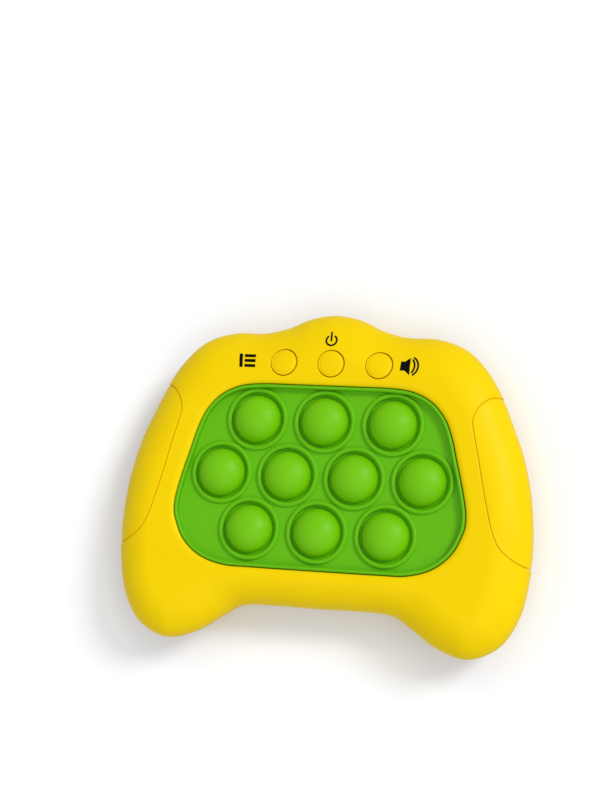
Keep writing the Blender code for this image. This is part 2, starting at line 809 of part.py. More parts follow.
def buttons(finish_material, switch_material, plunger_material):
    """Three press buttons, each over its own switch on the board. Their tops follow the casing."""
    above = skin("above_the_buttons", -front_rise, -button_proud)
    flange_top = button_flange_height()
    flange_bottom = flange_top - button_flange_thickness
    flange_radius = button_radius + button_flange_width
    for name, place in zip(button_names, button_places()):
        top = front_face + button_proud + overrun
        profile = [(0, flange_bottom), (flange_radius, flange_bottom), (flange_radius, flange_top),
                   (button_radius, flange_top), (button_radius, top), (0, top)]
        bm = bmesh.new()
        add_turned(bm, profile, round_sides)
        button = finish(f"{name}_button", bm, finish_material, (place.x, place.y, 0), smooth_angle=30)
        combine(button, above, 'DIFFERENCE')

        switch = bmesh.new()
        bottom = board_top + fit_gap
        add_box(switch, (-switch_size / 2, -switch_size / 2, bottom),
                (switch_size / 2, switch_size / 2, bottom + switch_height))
        body = finish(f"{name}_switch", switch, switch_material, (place.x, place.y, 0))
        hole = bmesh.new()
        add_cylinder(hole, switch_plunger_radius + fit_gap, bottom - overrun,
                     bottom + switch_height + overrun, sides=small_sides)
        combine(body, helper(f"{name}_switch_hole", hole, (place.x, place.y, 0)), 'DIFFERENCE')

        plunger = bmesh.new()
        add_cylinder(plunger, switch_plunger_radius, bottom + button_travel, flange_bottom - fit_gap,
                     sides=small_sides)
        finish(f"{name}_switch_plunger", plunger, plunger_material, (place.x, place.y, 0), smooth_angle=50)


# Board

def main_board(finish_material):
    """The circuit board under the mat, with a tab that carries the three switches."""
    bm = bmesh.new()
    outline = widened(window, board_margin)
    add_loft(bm, [flat_loop(outline, board_bottom), flat_loop(outline, board_top)])
    board = finish("main_board", bm, finish_material)
    tab = bmesh.new()
    half = button_pitch + switch_size / 2 + board_tab_margin
    edge = button_row_y + switch_size / 2 + board_margin
    add_box(tab, (button_row_offset - half, window_y, board_bottom),
            (button_row_offset + half, edge, board_top))
    combine(board, helper("board_tab", tab), 'UNION')


def board_parts(led_material, chip_material):
    """A light under each bubble, and the controller chip beside the battery well."""
    bottom = board_top + fit_gap
    for number, place in enumerate(bubble_places(), start=1):
        middle = place - Vector((0, led_offset))
        bm = bmesh.new()
        add_box(bm, (middle.x - led_size / 2, middle.y - led_size / 2, bottom),
                (middle.x + led_size / 2, middle.y + led_size / 2, bottom + led_height))
        finish(f"led_{number}", bm, led_material)
    bm = bmesh.new()
    top = board_bottom - fit_gap
    add_box(bm, (chip_x - chip_size / 2, layout_y - chip_size / 2, top - chip_height),
            (chip_x + chip_size / 2, layout_y + chip_size / 2, top))
    finish("controller_chip", bm, chip_material)


# Batteries and contacts

def battery_row(number):
    """A battery's middle line, and the side that its flat end faces: -1 is the left."""
    return well_offset + (2 - number) * battery_pitch, (1 if number == 2 else -1)


def batteries(finish_material):
    """Three cells side by side, turned end for end in turn."""
    for number in (1, 2, 3):
        y, flat_side = battery_row(number)
        radius, body = battery_diameter / 2, battery_length - battery_cap_length
        profile = [(0, 0), (radius, 0), (radius, body), (battery_cap_radius, body),
                   (battery_cap_radius, battery_length), (0, battery_length)]
        bm = bmesh.new()
        add_turned(bm, profile, round_sides)
        bm.transform(Matrix.Rotation(-flat_side * math.radians(90), 4, 'Y'))
        start = flat_side * (well_half_length - 2 * fit_gap - contact_thickness - spring_length)
        finish(f"battery_{number}", bm, finish_material, (start, y, battery_axis), smooth_angle=50)


def contact(name, side, rows, spring_row, finish_material, tab_row=None):
    """A plate at one end of the well, with a spring for a cell's flat end and a tab for a lead."""
    outside = side * (well_half_length - fit_gap)
    inside = outside - side * contact_thickness
    ys = [battery_row(row)[0] for row in rows]
    bm = bmesh.new()
    add_box(bm, (min(outside, inside), min(ys) - contact_width / 2, battery_axis - contact_width / 2),
            (max(outside, inside), max(ys) + contact_width / 2, battery_axis + contact_width / 2))
    plate = finish(name, bm, finish_material)
    if spring_row:
        y = battery_row(spring_row)[0]
        route = spring_route(side, inside, y)
        combine(plate, as_mesh_helper(tube(f"{name}_spring", route, spring_wire / 2, None)), 'UNION')
    if tab_row:
        y = battery_row(tab_row)[0]
        reach = outside + side * (fit_gap + well_wall + contact_tab_length)
        tab = bmesh.new()
        add_box(tab, (min(inside, reach), y - contact_tab_width / 2, battery_axis - contact_thickness / 2),
                (max(inside, reach), y + contact_tab_width / 2, battery_axis + contact_thickness / 2))
        combine(plate, helper(f"{name}_tab", tab), 'UNION')


def spring_route(side, plate_face, y):
    """A cone of spring wire, from inside its plate to the end of the cell."""
    steps = spring_steps_per_turn * spring_turns
    start = plate_face + side * spring_wire / 4
    length = spring_length - spring_wire / 2
    points = []
    for i in range(steps + 1):
        share = i / steps
        angle = share * spring_turns * math.tau
        radius = spring_base_radius + (spring_tip_radius - spring_base_radius) * share
        points.append((start - side * share * length, y + radius * math.cos(angle),
                       battery_axis + radius * math.sin(angle)))
    return points


def contacts(finish_material):
    """The pole contacts of the battery pack and the two that bridge neighbouring cells."""
    contact("negative_terminal_spring", -1, (1,), 1, finish_material, tab_row=1)
    contact("positive_terminal", 1, (3,), None, finish_material, tab_row=3)
    contact("bridge_contact_right", 1, (1, 2), 2, finish_material)
    contact("bridge_contact_left", -1, (2, 3), 3, finish_material)


# Battery door

def battery_door(finish_material, screw_material):
    """The door in the back face. It turns on the edge beside its two tabs, and one screw holds it."""
    axis = Vector((0, door_top + fit_gap / 2, 0))
    bm = bmesh.new()
    add_box(bm, (-door_half_length, door_bottom - axis.y, 0),
            (door_half_length, door_top - axis.y, door_thickness))
    door = finish("battery_door", bm, finish_material, axis)
    for side in (-1, 1):
        x = side * door_tab_spacing / 2
        tab = bmesh.new()
        edge = door_top - axis.y
        add_box(tab, (x - door_tab_width / 2, edge - overrun, door_thickness - door_tab_thickness),
                (x + door_tab_width / 2, edge + door_tab_length, door_thickness))
        combine(door, helper(f"door_tab_{'left' if side < 0 else 'right'}", tab, axis), 'UNION')
    head_bottom = door_thickness / 8
    hole = bmesh.new()
    head, shank = door_screw_head_radius + fit_gap, door_screw_radius + fit_gap
    shoulder = head_bottom + door_screw_head_height + fit_gap
    above = door_thickness + overrun
    add_turned(hole, [(0, -overrun), (head, -overrun), (head, shoulder), (shank, shoulder),
                      (shank, above), (0, above)], small_sides)
    combine(door, helper("door_screw_hole", hole, (0, door_screw_y, 0)), 'DIFFERENCE')
    screw("battery_door_screw", door_screw_head_radius, head_bottom, head_bottom + door_screw_head_height,
          door_screw_radius, door_thickness + door_screw_bite, (0, door_screw_y, 0), screw_material)


# Fasteners

def screw(name, head_radius, head_bottom, head_top, shank_radius, tip, place, finish_material):
    """A slotted screw that points up, with its head below."""
    bm = bmesh.new()
    head_middle = (head_bottom + head_top) / 2
    add_turned(bm, [(0, head_bottom), (head_radius * screw_head_flat_share, head_bottom),
                    (head_radius, head_middle), (head_radius, head_top), (shank_radius, head_top),
                    (shank_radius, tip - shank_radius), (0, tip)], small_sides)
    made = finish(name, bm, finish_material, place, smooth_angle=50)
    slot = bmesh.new()
    depth = min(screw_slot_depth, (head_top - head_bottom) / 2)
    add_box(slot, (-screw_slot_width / 2, -head_radius - overrun, head_bottom - overrun),
            (screw_slot_width / 2, head_radius + overrun, head_bottom + depth))
    combine(made, helper(f"{name}_slot", slot, place), 'DIFFERENCE')


def case_screws(finish_material):
    """Six screws that hold the two shells together from the back."""
    head_top = screw_seat - fit_gap
    for number, (point, _) in enumerate(screw_places(), start=1):
        screw(f"case_screw_{number}", screw_head_radius, head_top - screw_head_height, head_top,
              screw_radius, parting + screw_bite, (point.x, point.y, 0), finish_material)


# Speaker and leads

def speaker(frame_material, magnet_material, cone_material):
    """A small loudspeaker that faces the grille in the back."""
    place = (speaker_x, speaker_y, speaker_bottom)
    rim, metal, height = speaker_radius - speaker_rim_width, speaker_metal, speaker_height
    neck = magnet_radius - speaker_rim_width
    bm = bmesh.new()
    add_turned(bm, [(speaker_radius, 0), (speaker_radius, metal), (rim, 2 * metal), (magnet_radius, height),
                    (neck, height), (neck, height - metal), (magnet_radius - metal, height - metal),
                    (rim - metal, metal), (rim - metal, 0)], round_sides)
    finish("speaker_frame", bm, frame_material, place, smooth_angle=50)
    bm = bmesh.new()
    add_cylinder(bm, magnet_radius, height + fit_gap, height + fit_gap + magnet_height)
    finish("speaker_magnet", bm, magnet_material, place, smooth_angle=50)
    bm = bmesh.new()
    edge = rim - metal - fit_gap
    add_turned(bm, [(0, metal), (neck / 2, metal), (neck / 2, 2 * metal), (edge, 0), (edge, metal / 2),
                    (neck / 2 + metal, height / 2), (0, height / 2)], round_sides)
    finish("speaker_cone", bm, cone_material, place, smooth_angle=50)


def lead_route(start, end):
    """A lead that leaves level, rises in an easy S and meets the board from below."""
    level = Vector((end[0], end[1], start[2]))
    begin, finish_point = Vector(start), Vector(end)
    points = []
    for i in range(lead_steps + 1):
        share = i / lead_steps
        rest = 1 - share
        points.append(begin * rest ** 2 + level * 2 * share * rest + finish_point * share ** 2)
    return points


def leads(red_material, black_material):
    """Two leads from the speaker and two from the battery contacts, all to the board's underside."""
    top = board_bottom - fit_gap
    speaker_edge = speaker_y + speaker_radius + 2 * (fit_gap + speaker_metal) + lead_radius
    for side, colour, finish_material in ((-1, "red", red_material), (1, "black", black_material)):
        x = speaker_x + side * lead_spacing / 2
        start = (x, speaker_edge, wall + speaker_height)
        end = (x, speaker_edge + speaker_lead_run, top)
        tube(f"speaker_wire_{colour}", lead_route(start, end), lead_radius, finish_material)
    reach = well_half_length + well_wall + contact_tab_length + fit_gap
    for side, row, colour, finish_material in ((-1, 1, "black", black_material),
                                               (1, 3, "red", red_material)):
        y = battery_row(row)[0]
        start = (side * reach, y, battery_axis)
        end = (side * (reach + lead_spacing), y, top)
        tube(f"battery_wire_{colour}", lead_route(start, end), lead_radius, finish_material)


def build():
    """Make every part of the game."""
    remove_everything()
    yellow = material("yellow_plastic", (0.93, 0.66, 0.0), 0.45)
    green = material("green_silicone", (0.12, 0.48, 0.01), 0.5)
    bubble_green = material("bubble_silicone", (0.16, 0.56, 0.0), 0.45)
    board_green = material("board_laminate", (0.02, 0.2, 0.06), 0.5)
    white = material("led_white", (0.85, 0.85, 0.78), 0.4)
    black = material("black_plastic", (0.02, 0.02, 0.02), 0.5)
    inner_white = material("white_plastic", (0.8, 0.8, 0.78), 0.5)
    steel = material("zinc_steel", (0.6, 0.6, 0.6), 0.35, 1.0)
    magnet = material("ferrite", (0.08, 0.08, 0.09), 0.55, 0.6)
    paper = material("speaker_paper", (0.06, 0.06, 0.06), 0.8)
    jacket = material("battery_jacket", (0.12, 0.13, 0.15), 0.4)
    red = material("red_lead", (0.6, 0.02, 0.02), 0.45)

    recesses = panel_recesses()
    front_shell(yellow, recesses)
    rear_shell(yellow, recesses)
    grip_panels(yellow)
    bubble_mat(green)
    bubbles(bubble_green)
    clamp_frame(inner_white)
    buttons(yellow, black, inner_white)
    main_board(board_green)
    board_parts(white, black)
    batteries(jacket)
    contacts(steel)
    battery_door(yellow, steel)
    case_screws(steel)
    speaker(steel, magnet, paper)
    leads(red, black)


build()
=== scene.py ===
"""Looks of a handheld electronic bubble pop game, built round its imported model.

Metres, +Z out of the front face, +Y to the edge with the buttons. The casing, the mat, the bubbles and what
the battery door covers are modelled here finely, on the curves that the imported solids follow.
"""
import json
import logging
import math
from collections.abc import Callable, Iterator, Sequence
from contextlib import contextmanager
from dataclasses import dataclass, field
from enum import Enum
from functools import cached_property

import bmesh
import bpy
from mathutils import Matrix, Vector
from mathutils.geometry import intersect_line_line_2d


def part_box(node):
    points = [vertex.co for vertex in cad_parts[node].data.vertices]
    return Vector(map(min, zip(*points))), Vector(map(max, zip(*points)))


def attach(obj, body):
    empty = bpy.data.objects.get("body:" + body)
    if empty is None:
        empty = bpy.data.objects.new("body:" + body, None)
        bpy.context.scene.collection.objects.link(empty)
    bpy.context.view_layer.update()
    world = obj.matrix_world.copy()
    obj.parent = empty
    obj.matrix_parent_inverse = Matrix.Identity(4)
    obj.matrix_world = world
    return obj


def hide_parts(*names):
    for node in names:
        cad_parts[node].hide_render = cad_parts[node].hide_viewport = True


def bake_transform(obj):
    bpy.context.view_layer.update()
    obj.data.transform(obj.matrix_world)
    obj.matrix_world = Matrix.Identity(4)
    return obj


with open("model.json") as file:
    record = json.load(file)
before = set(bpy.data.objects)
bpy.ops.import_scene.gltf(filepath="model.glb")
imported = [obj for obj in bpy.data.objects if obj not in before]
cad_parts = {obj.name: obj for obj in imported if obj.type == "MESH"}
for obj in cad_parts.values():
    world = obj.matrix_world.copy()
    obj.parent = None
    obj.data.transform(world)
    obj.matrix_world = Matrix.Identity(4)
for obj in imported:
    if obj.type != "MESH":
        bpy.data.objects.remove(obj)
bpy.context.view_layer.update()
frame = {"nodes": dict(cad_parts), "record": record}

log = logging.getLogger("bubble_game")
mm = 0.001
CASING = "casing"
BUTTONS = ("menu", "power", "sound")

# Where the middle point of a soft brink lies, as a share of the brink
BRINK_SHARE = 0.3

Piece = bpy.types.Object
Ring = list[Vector]
Profile = Sequence[tuple[float, float]]


class Ends(Enum):
    """How a skin of rings ends."""

    JOINED = "the last ring meets the first"
    CAPPED = "a face fills each end"


class Side(Enum):
    """The two sides of the casing."""

    LEFT = -1
    RIGHT = 1


class Axis(Enum):
    """The direction that a piece is turned or rounded about."""

    X = 0
    Z = 2

    @property
    def along(self) -> Vector:
        """The axis's own direction."""
        return Vector([float(i == self.value) for i in range(3)])

    @property
    def across(self) -> Vector:
        """A direction square to it."""
        return Vector([float(i == (self.value + 1) % 3) for i in range(3)])


def flat(line: Sequence[Vector], height: float) -> Ring:
    """A plan line at a height."""
    return [Vector((p.x, p.y, height)) for p in line]


def plan_middle(node: str) -> Vector:
    """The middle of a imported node's box, in plan."""
    low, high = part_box(node)
    return ((low + high) / 2).to_2d()


def plan_radius(node: str) -> float:
    """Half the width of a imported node's box."""
    low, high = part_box(node)
    return (high.x - low.x) / 2


# Modelling steps

class Bench:
    """Modelling by operator. What an operator acts on is picked by place first."""

    merge_distance = 0.002 * mm

    @staticmethod
    def clear() -> None:
        """Leave edit mode and deselect everything."""
        if bpy.context.object and bpy.context.object.mode != 'OBJECT':
            bpy.ops.object.mode_set(mode='OBJECT')
        bpy.ops.object.select_all(action='DESELECT')

    @staticmethod
    def choose(piece: Piece) -> None:
        """Make one piece the selected and active one."""
        Bench.clear()
        bpy.context.view_layer.objects.active = piece
        piece.select_set(True)

    @staticmethod
    @contextmanager
    def editing(piece: Piece) -> Iterator[None]:
        """Work on a piece in edit mode."""
        Bench.choose(piece)
        bpy.ops.object.mode_set(mode='EDIT')
        yield
        bpy.ops.object.mode_set(mode='OBJECT')

    @staticmethod
    def pick(piece: Piece, kind: str, test: Callable[..., bool]) -> None:
        """Select what passes a test in the edited mesh.

        Args:
            piece: The object in edit mode.
            kind: 'VERT', 'EDGE' or 'FACE'.
            test: Says for each point, edge or face whether it is wanted.
        """
        bpy.ops.mesh.select_mode(type=kind)
        bpy.ops.mesh.select_all(action='DESELECT')
        mesh = bmesh.from_edit_mesh(piece.data)
        for part in {'VERT': mesh.verts, 'EDGE': mesh.edges, 'FACE': mesh.faces}[kind]:
            if test(part):
                part.select_set(True)
        bmesh.update_edit_mesh(piece.data)

    @staticmethod
    def lay(piece: Piece, ring: Ring) -> None:
        """Put each selected point on the place in a ring that has its station's number."""
        mesh = bmesh.from_edit_mesh(piece.data)
        stations = mesh.verts.layers.int["station"]
        for vert in mesh.verts:
            if vert.select:
                vert.co = ring[vert[stations]]
        bmesh.update_edit_mesh(piece.data)

    @staticmethod
    def weld() -> None:
        """Select all of the edited mesh and merge its doubled points."""
        bpy.ops.mesh.select_all(action='SELECT')
        bpy.ops.mesh.remove_doubles(threshold=Bench.merge_distance)

    @staticmethod
    def skin(name: str, rings: Sequence[Ring], ends: Ends) -> Piece:
        """Draw a skin up from ring to ring, each extruded from the last and laid on its line.

        Args:
            name: The new object's name.
            rings: Closed lines of equal counts of points.
            ends: What closes the first and the last ring.

        Returns:
            The new object.
        """
        Bench.clear()
        bpy.ops.mesh.primitive_circle_add(vertices=len(rings[0]), fill_type='NOTHING')
        piece = bpy.context.object
        piece.name = name
        stations = piece.data.attributes.new("station", 'INT', 'POINT')
        stations.data.foreach_set("value", list(range(len(rings[0]))))
        capped = ends is Ends.CAPPED
        extrude = bpy.ops.mesh.extrude_region_move if capped else bpy.ops.mesh.extrude_edges_move
        later = rings[1:] if capped else [*rings[1:], rings[0]]
        with Bench.editing(piece):
            bpy.ops.mesh.select_mode(type='VERT')
            bpy.ops.mesh.select_all(action='SELECT')
            Bench.lay(piece, rings[0])
            if capped:
                bpy.ops.mesh.edge_face_add()
            for ring in later:
                extrude()
                Bench.lay(piece, ring)
            Bench.weld()
            bpy.ops.mesh.normals_make_consistent(inside=False)
        piece.data.attributes.remove(piece.data.attributes["station"])
        return piece

    @staticmethod
    def turned(name: str, profile: Profile, sides: int, middle: Sequence[float] = (0, 0, 0),
               axis: Axis = Axis.Z) -> Piece:
        """Spin a drawn profile round an axis.

        Args:
            name: The new object's name.
            profile: Radius and height of each point, from axis to axis, or all round a hollow ring.
            sides: How many steps the turn has.
            middle: A point on the axis, at height zero.
            axis: The axis's direction.

        Returns:
            The new object.
        """
        Bench.clear()
        bpy.ops.mesh.primitive_plane_add(size=mm)
        piece = bpy.context.object
        piece.name = name
        base = Vector(middle)
        places = [base + axis.across * radius + axis.along * height for radius, height in profile]
        hollow = profile[0][0] > 0
        with Bench.editing(piece):
            bpy.ops.mesh.select_mode(type='VERT')
            bpy.ops.mesh.select_all(action='SELECT')
            bpy.ops.mesh.merge(type='CENTER')
            bpy.ops.transform.translate(value=places[0])
            steps = list(zip(places, places[1:]))
            if hollow:
                steps.append((places[-1], places[0]))
            for start, end in steps:
                bpy.ops.mesh.extrude_vertices_move(TRANSFORM_OT_translate={"value": end - start})
            Bench.weld()
            bpy.ops.mesh.spin(steps=sides, angle=math.tau, center=base, axis=axis.along)
            Bench.weld()
            bpy.ops.mesh.normals_make_consistent(inside=False)
        return piece

    @staticmethod
    def block(name: str, low: Sequence[float], high: Sequence[float], corner: float = 0, edge: float = 0,
              axis: Axis = Axis.Z) -> Piece:
        """A block between two corners, rounded about one axis.

        Args:
            name: The new object's name.
            low: Its lowest corner.
            high: Its highest corner.
            corner: Radius of the four edges along the axis.
            edge: Radius of the rims of the two faces that the axis passes through.
            axis: The axis's direction.

        Returns:
            The new object.
        """
        Bench.clear()
        low, high = Vector(low), Vector(high)
        bpy.ops.mesh.primitive_cube_add(size=1, location=(low + high) / 2, scale=high - low)
        piece = bpy.context.object
        piece.name = name
        bpy.ops.object.transform_apply(location=True, rotation=True, scale=True)
        number = axis.value
        with Bench.editing(piece):
            if corner:
                Bench.pick(piece, 'EDGE',
                           lambda e: abs(e.verts[0].co[number] - e.verts[1].co[number]) > e.calc_length() / 2)
                bpy.ops.mesh.bevel(offset=corner, segments=5, affect='EDGES')
            if edge:
                Bench.pick(piece, 'FACE', lambda f: abs(f.normal[number]) > 0.9)
                bpy.ops.mesh.bevel(offset=edge, segments=3, affect='EDGES')
        return piece

    @staticmethod
    def prism(name: str, outline: Sequence[Vector], low: float, high: float, corner: float = 0) -> Piece:
        """An upright block over a plan outline, with its upright edges rounded by a radius."""
        piece = Bench.skin(name, [flat(outline, low), flat(outline, high)], Ends.CAPPED)
        if corner:
            with Bench.editing(piece):
                Bench.pick(piece, 'EDGE', lambda e: abs(e.verts[0].co.z - e.verts[1].co.z) > (high - low) / 2)
                bpy.ops.mesh.bevel(offset=corner, segments=3, affect='EDGES')
        return piece

    @staticmethod
    def tube(name: str, route: Ring, radius: float, closed: bool, roundness: int = 2) -> Piece:
        """A round bar along a line of points, with its ends filled unless it is closed."""
        Bench.clear()
        bpy.ops.curve.primitive_bezier_circle_add(radius=mm)
        bar = bpy.context.object
        bar.name = name
        bar.data.splines.clear()
        spline = bar.data.splines.new('POLY')
        spline.points.add(len(route) - 1)
        for spot, place in zip(spline.points, route):
            spot.co = (*place, 1)
        spline.use_cyclic_u = closed
        bar.data.bevel_depth = radius
        bar.data.bevel_resolution = roundness
        bar.data.use_fill_caps = not closed
        bpy.ops.object.convert(target='MESH')
        bar = bpy.context.object
        with Bench.editing(bar):
            Bench.weld()
            bpy.ops.mesh.normals_make_consistent(inside=False)
        return bar

    @staticmethod
    def tool(piece: Piece, kind: str, **settings) -> None:
        """Add a modifier with its settings and apply it."""
        Bench.choose(piece)
        bpy.ops.object.modifier_add(type=kind)
        modifier = piece.modifiers[-1]
        for key, value in settings.items():
            setattr(modifier, key, value)
        bpy.ops.object.modifier_apply(modifier=modifier.name)

    @staticmethod
    def combine(piece: Piece, other: Piece, operation: str, keep: bool = False) -> None:
        """Cut, join or share two pieces, and remove the second one unless it is kept."""
        Bench.tool(piece, 'BOOLEAN', operation=operation, solver='EXACT', object=other)
        if not keep:
            bpy.data.objects.remove(other)

    @staticmethod
    def copy(piece: Piece, name: str, shift: Sequence[float] = (0, 0, 0)) -> Piece:
        """Duplicate a piece with its own mesh, moved by a distance."""
        Bench.choose(piece)
        bpy.ops.object.duplicate(linked=False)
        made = bpy.context.object
        made.name = name
        with Bench.editing(made):
            bpy.ops.mesh.select_all(action='SELECT')
            bpy.ops.transform.translate(value=shift)
        return made

    @staticmethod
    def join(pieces: Sequence[Piece]) -> Piece:
        """Join pieces into the first one."""
        Bench.choose(pieces[0])
        for piece in pieces[1:]:
            piece.select_set(True)
        bpy.ops.object.join()
        return pieces[0]

    @staticmethod
    def smooth(piece: Piece, degrees: float = 30) -> None:
        """Shade a piece smooth, with creases past an angle, and flats that stay flat."""
        Bench.choose(piece)
        bpy.ops.object.shade_smooth_by_angle(angle=math.radians(degrees))
        Bench.tool(piece, 'WEIGHTED_NORMAL', keep_sharp=True)


# Curves and sections

@dataclass(frozen=True)
class PlanCurve:
    """A smooth closed outline seen from above. It runs clockwise from the middle of its top edge."""

    points: tuple[Vector, ...]
    calm_reach: int = 9

    @staticmethod
    def between(p0: Vector, p1: Vector, p2: Vector, p3: Vector, share: float) -> Vector:
        """A point between p1 and p2, with the slopes there taken from their neighbours by distance."""
        before, here, after = (p1 - p0).length, (p2 - p1).length, (p3 - p2).length
        slope1 = (p2 - p0) * (here / (before + here))
        slope2 = (p3 - p1) * (here / (here + after))
        square, cube = share ** 2, share ** 3
        return (p1 * (2 * cube - 3 * square + 1) + slope1 * (cube - 2 * square + share)
                + p2 * (3 * square - 2 * cube) + slope2 * (cube - square))

    @classmethod
    def closed(cls, points: Sequence[Vector], steps: int) -> "PlanCurve":
        """A closed curve through points, with some steps to each stretch."""
        count = len(points)
        places = []
        for i in range(count):
            p0, p1, p2, p3 = (points[(i + k) % count] for k in (-1, 0, 1, 2))
            places += [cls.between(p0, p1, p2, p3, k / steps) for k in range(steps)]
        return cls(tuple(places))

    @classmethod
    def mirrored(cls, shares: Profile, half_width: float, half_length: float, middle: float,
                 steps: int) -> "PlanCurve":
        """A closed curve from the shares of its right half, listed from top to bottom."""
        right = [Vector((x * half_width, middle + y * half_length)) for x, y in shares]
        left = [Vector((-p.x, p.y)) for p in reversed(right[1:-1])]
        return cls.closed(right + left, steps)

    @classmethod
    def open_line(cls, points: Sequence[Vector], steps: int) -> list[Vector]:
        """An open line through points, with some steps to each stretch."""
        last = len(points) - 1
        places = []
        for i in range(last):
            p0, p1, p2, p3 = points[max(i - 1, 0)], points[i], points[i + 1], points[min(i + 2, last)]
            places += [cls.between(p0, p1, p2, p3, k / steps) for k in range(steps)]
        return [*places, points[-1]]

    @cached_property
    def normals(self) -> list[Vector]:
        """The outward direction at each point."""
        return self.normals_of(self.points)

    @staticmethod
    def normals_of(points: Sequence[Vector]) -> list[Vector]:
        """The outward direction at each point of a closed line that runs clockwise."""
        count = len(points)
        found = []
        for i in range(count):
            along = points[(i + 1) % count] - points[i - 1]
            found.append(Vector((-along.y, along.x)).normalized())
        return found

    @cached_property
    def calm_normals(self) -> list[Vector]:
        """Outward directions averaged along the line, which keep an inset from doubling back."""
        count, reach = len(self.points), self.calm_reach
        found = []
        for i in range(count):
            total = Vector((0, 0))
            for k in range(-reach, reach + 1):
                total += self.normals[(i + k) % count] * (reach + 1 - abs(k))
            found.append(total.normalized())
        return found

    def widened(self, distance: float) -> list[Vector]:
        """The outline moved outward by a distance, or inward where it is negative."""
        return [p + n * distance for p, n in zip(self.points, self.normals)]

    def nearest(self, point: Vector) -> tuple[float, float]:
        """How far a point is from the outline, and at which station, with its fraction."""
        least, station = math.inf, 0.0
        points = self.points
        for i, start in enumerate(points):
            side = points[(i + 1) % len(points)] - start
            share = min(max((point - start).dot(side) / side.dot(side), 0), 1)
            away = (point - start - side * share).length
            if away < least:
                least, station = away, i + share
        return least, station

    def facing(self, targets: Sequence[Vector], middle: Vector, outset: float) -> list[Vector]:
        """For each target, where the line to it from the middle crosses the widened outline."""
        line = self.widened(outset)
        seen = sorted((math.atan2(p.y - middle.y, p.x - middle.x), (p - middle).length) for p in line)
        seen = [(seen[-1][0] - math.tau, seen[-1][1]), *seen, (seen[0][0] + math.tau, seen[0][1])]
        found = []
        for p in targets:
            angle = math.atan2(p.y - middle.y, p.x - middle.x)
            index = next(i for i, entry in enumerate(seen) if entry[0] >= angle)
            (a0, r0), (a1, r1) = seen[index - 1], seen[index]
            radius = r0 + (r1 - r0) * (angle - a0) / (a1 - a0)
            found.append(middle + Vector((math.cos(angle), math.sin(angle))) * radius)
        return found


@dataclass(frozen=True)
class Shoulder:
    """A rounded edge whose section is a superellipse."""

    roundness: float
    height: float

    def place(self, width: float, turn: float, depth: float = 0) -> tuple[float, float]:
        """Inset and rise at a turn of 0 to 90 degrees, at a depth below the surface."""
        power, angle = self.roundness, math.radians(turn)
        out, up = max(math.cos(angle), 0) ** (2 / power), math.sin(angle) ** (2 / power)
        slope = Vector((out ** (power - 1) / width, up ** (power - 1) / self.height)).normalized()
        return width * (1 - out) + depth * slope.x, self.height * up - depth * slope.y

    def rise(self, inset: float, width: float) -> float:
        """How high the surface stands at a distance in from the edge."""
        if inset >= width:
            return self.height
        out = 1 - inset / width
        return self.height * (1 - out ** self.roundness) ** (1 / self.roundness)

    def turn_at(self, rise: float) -> float:
        """The turn in degrees at which the surface has a rise."""
        return math.degrees(math.asin(min(rise / self.height, 1) ** (self.roundness / 2)))


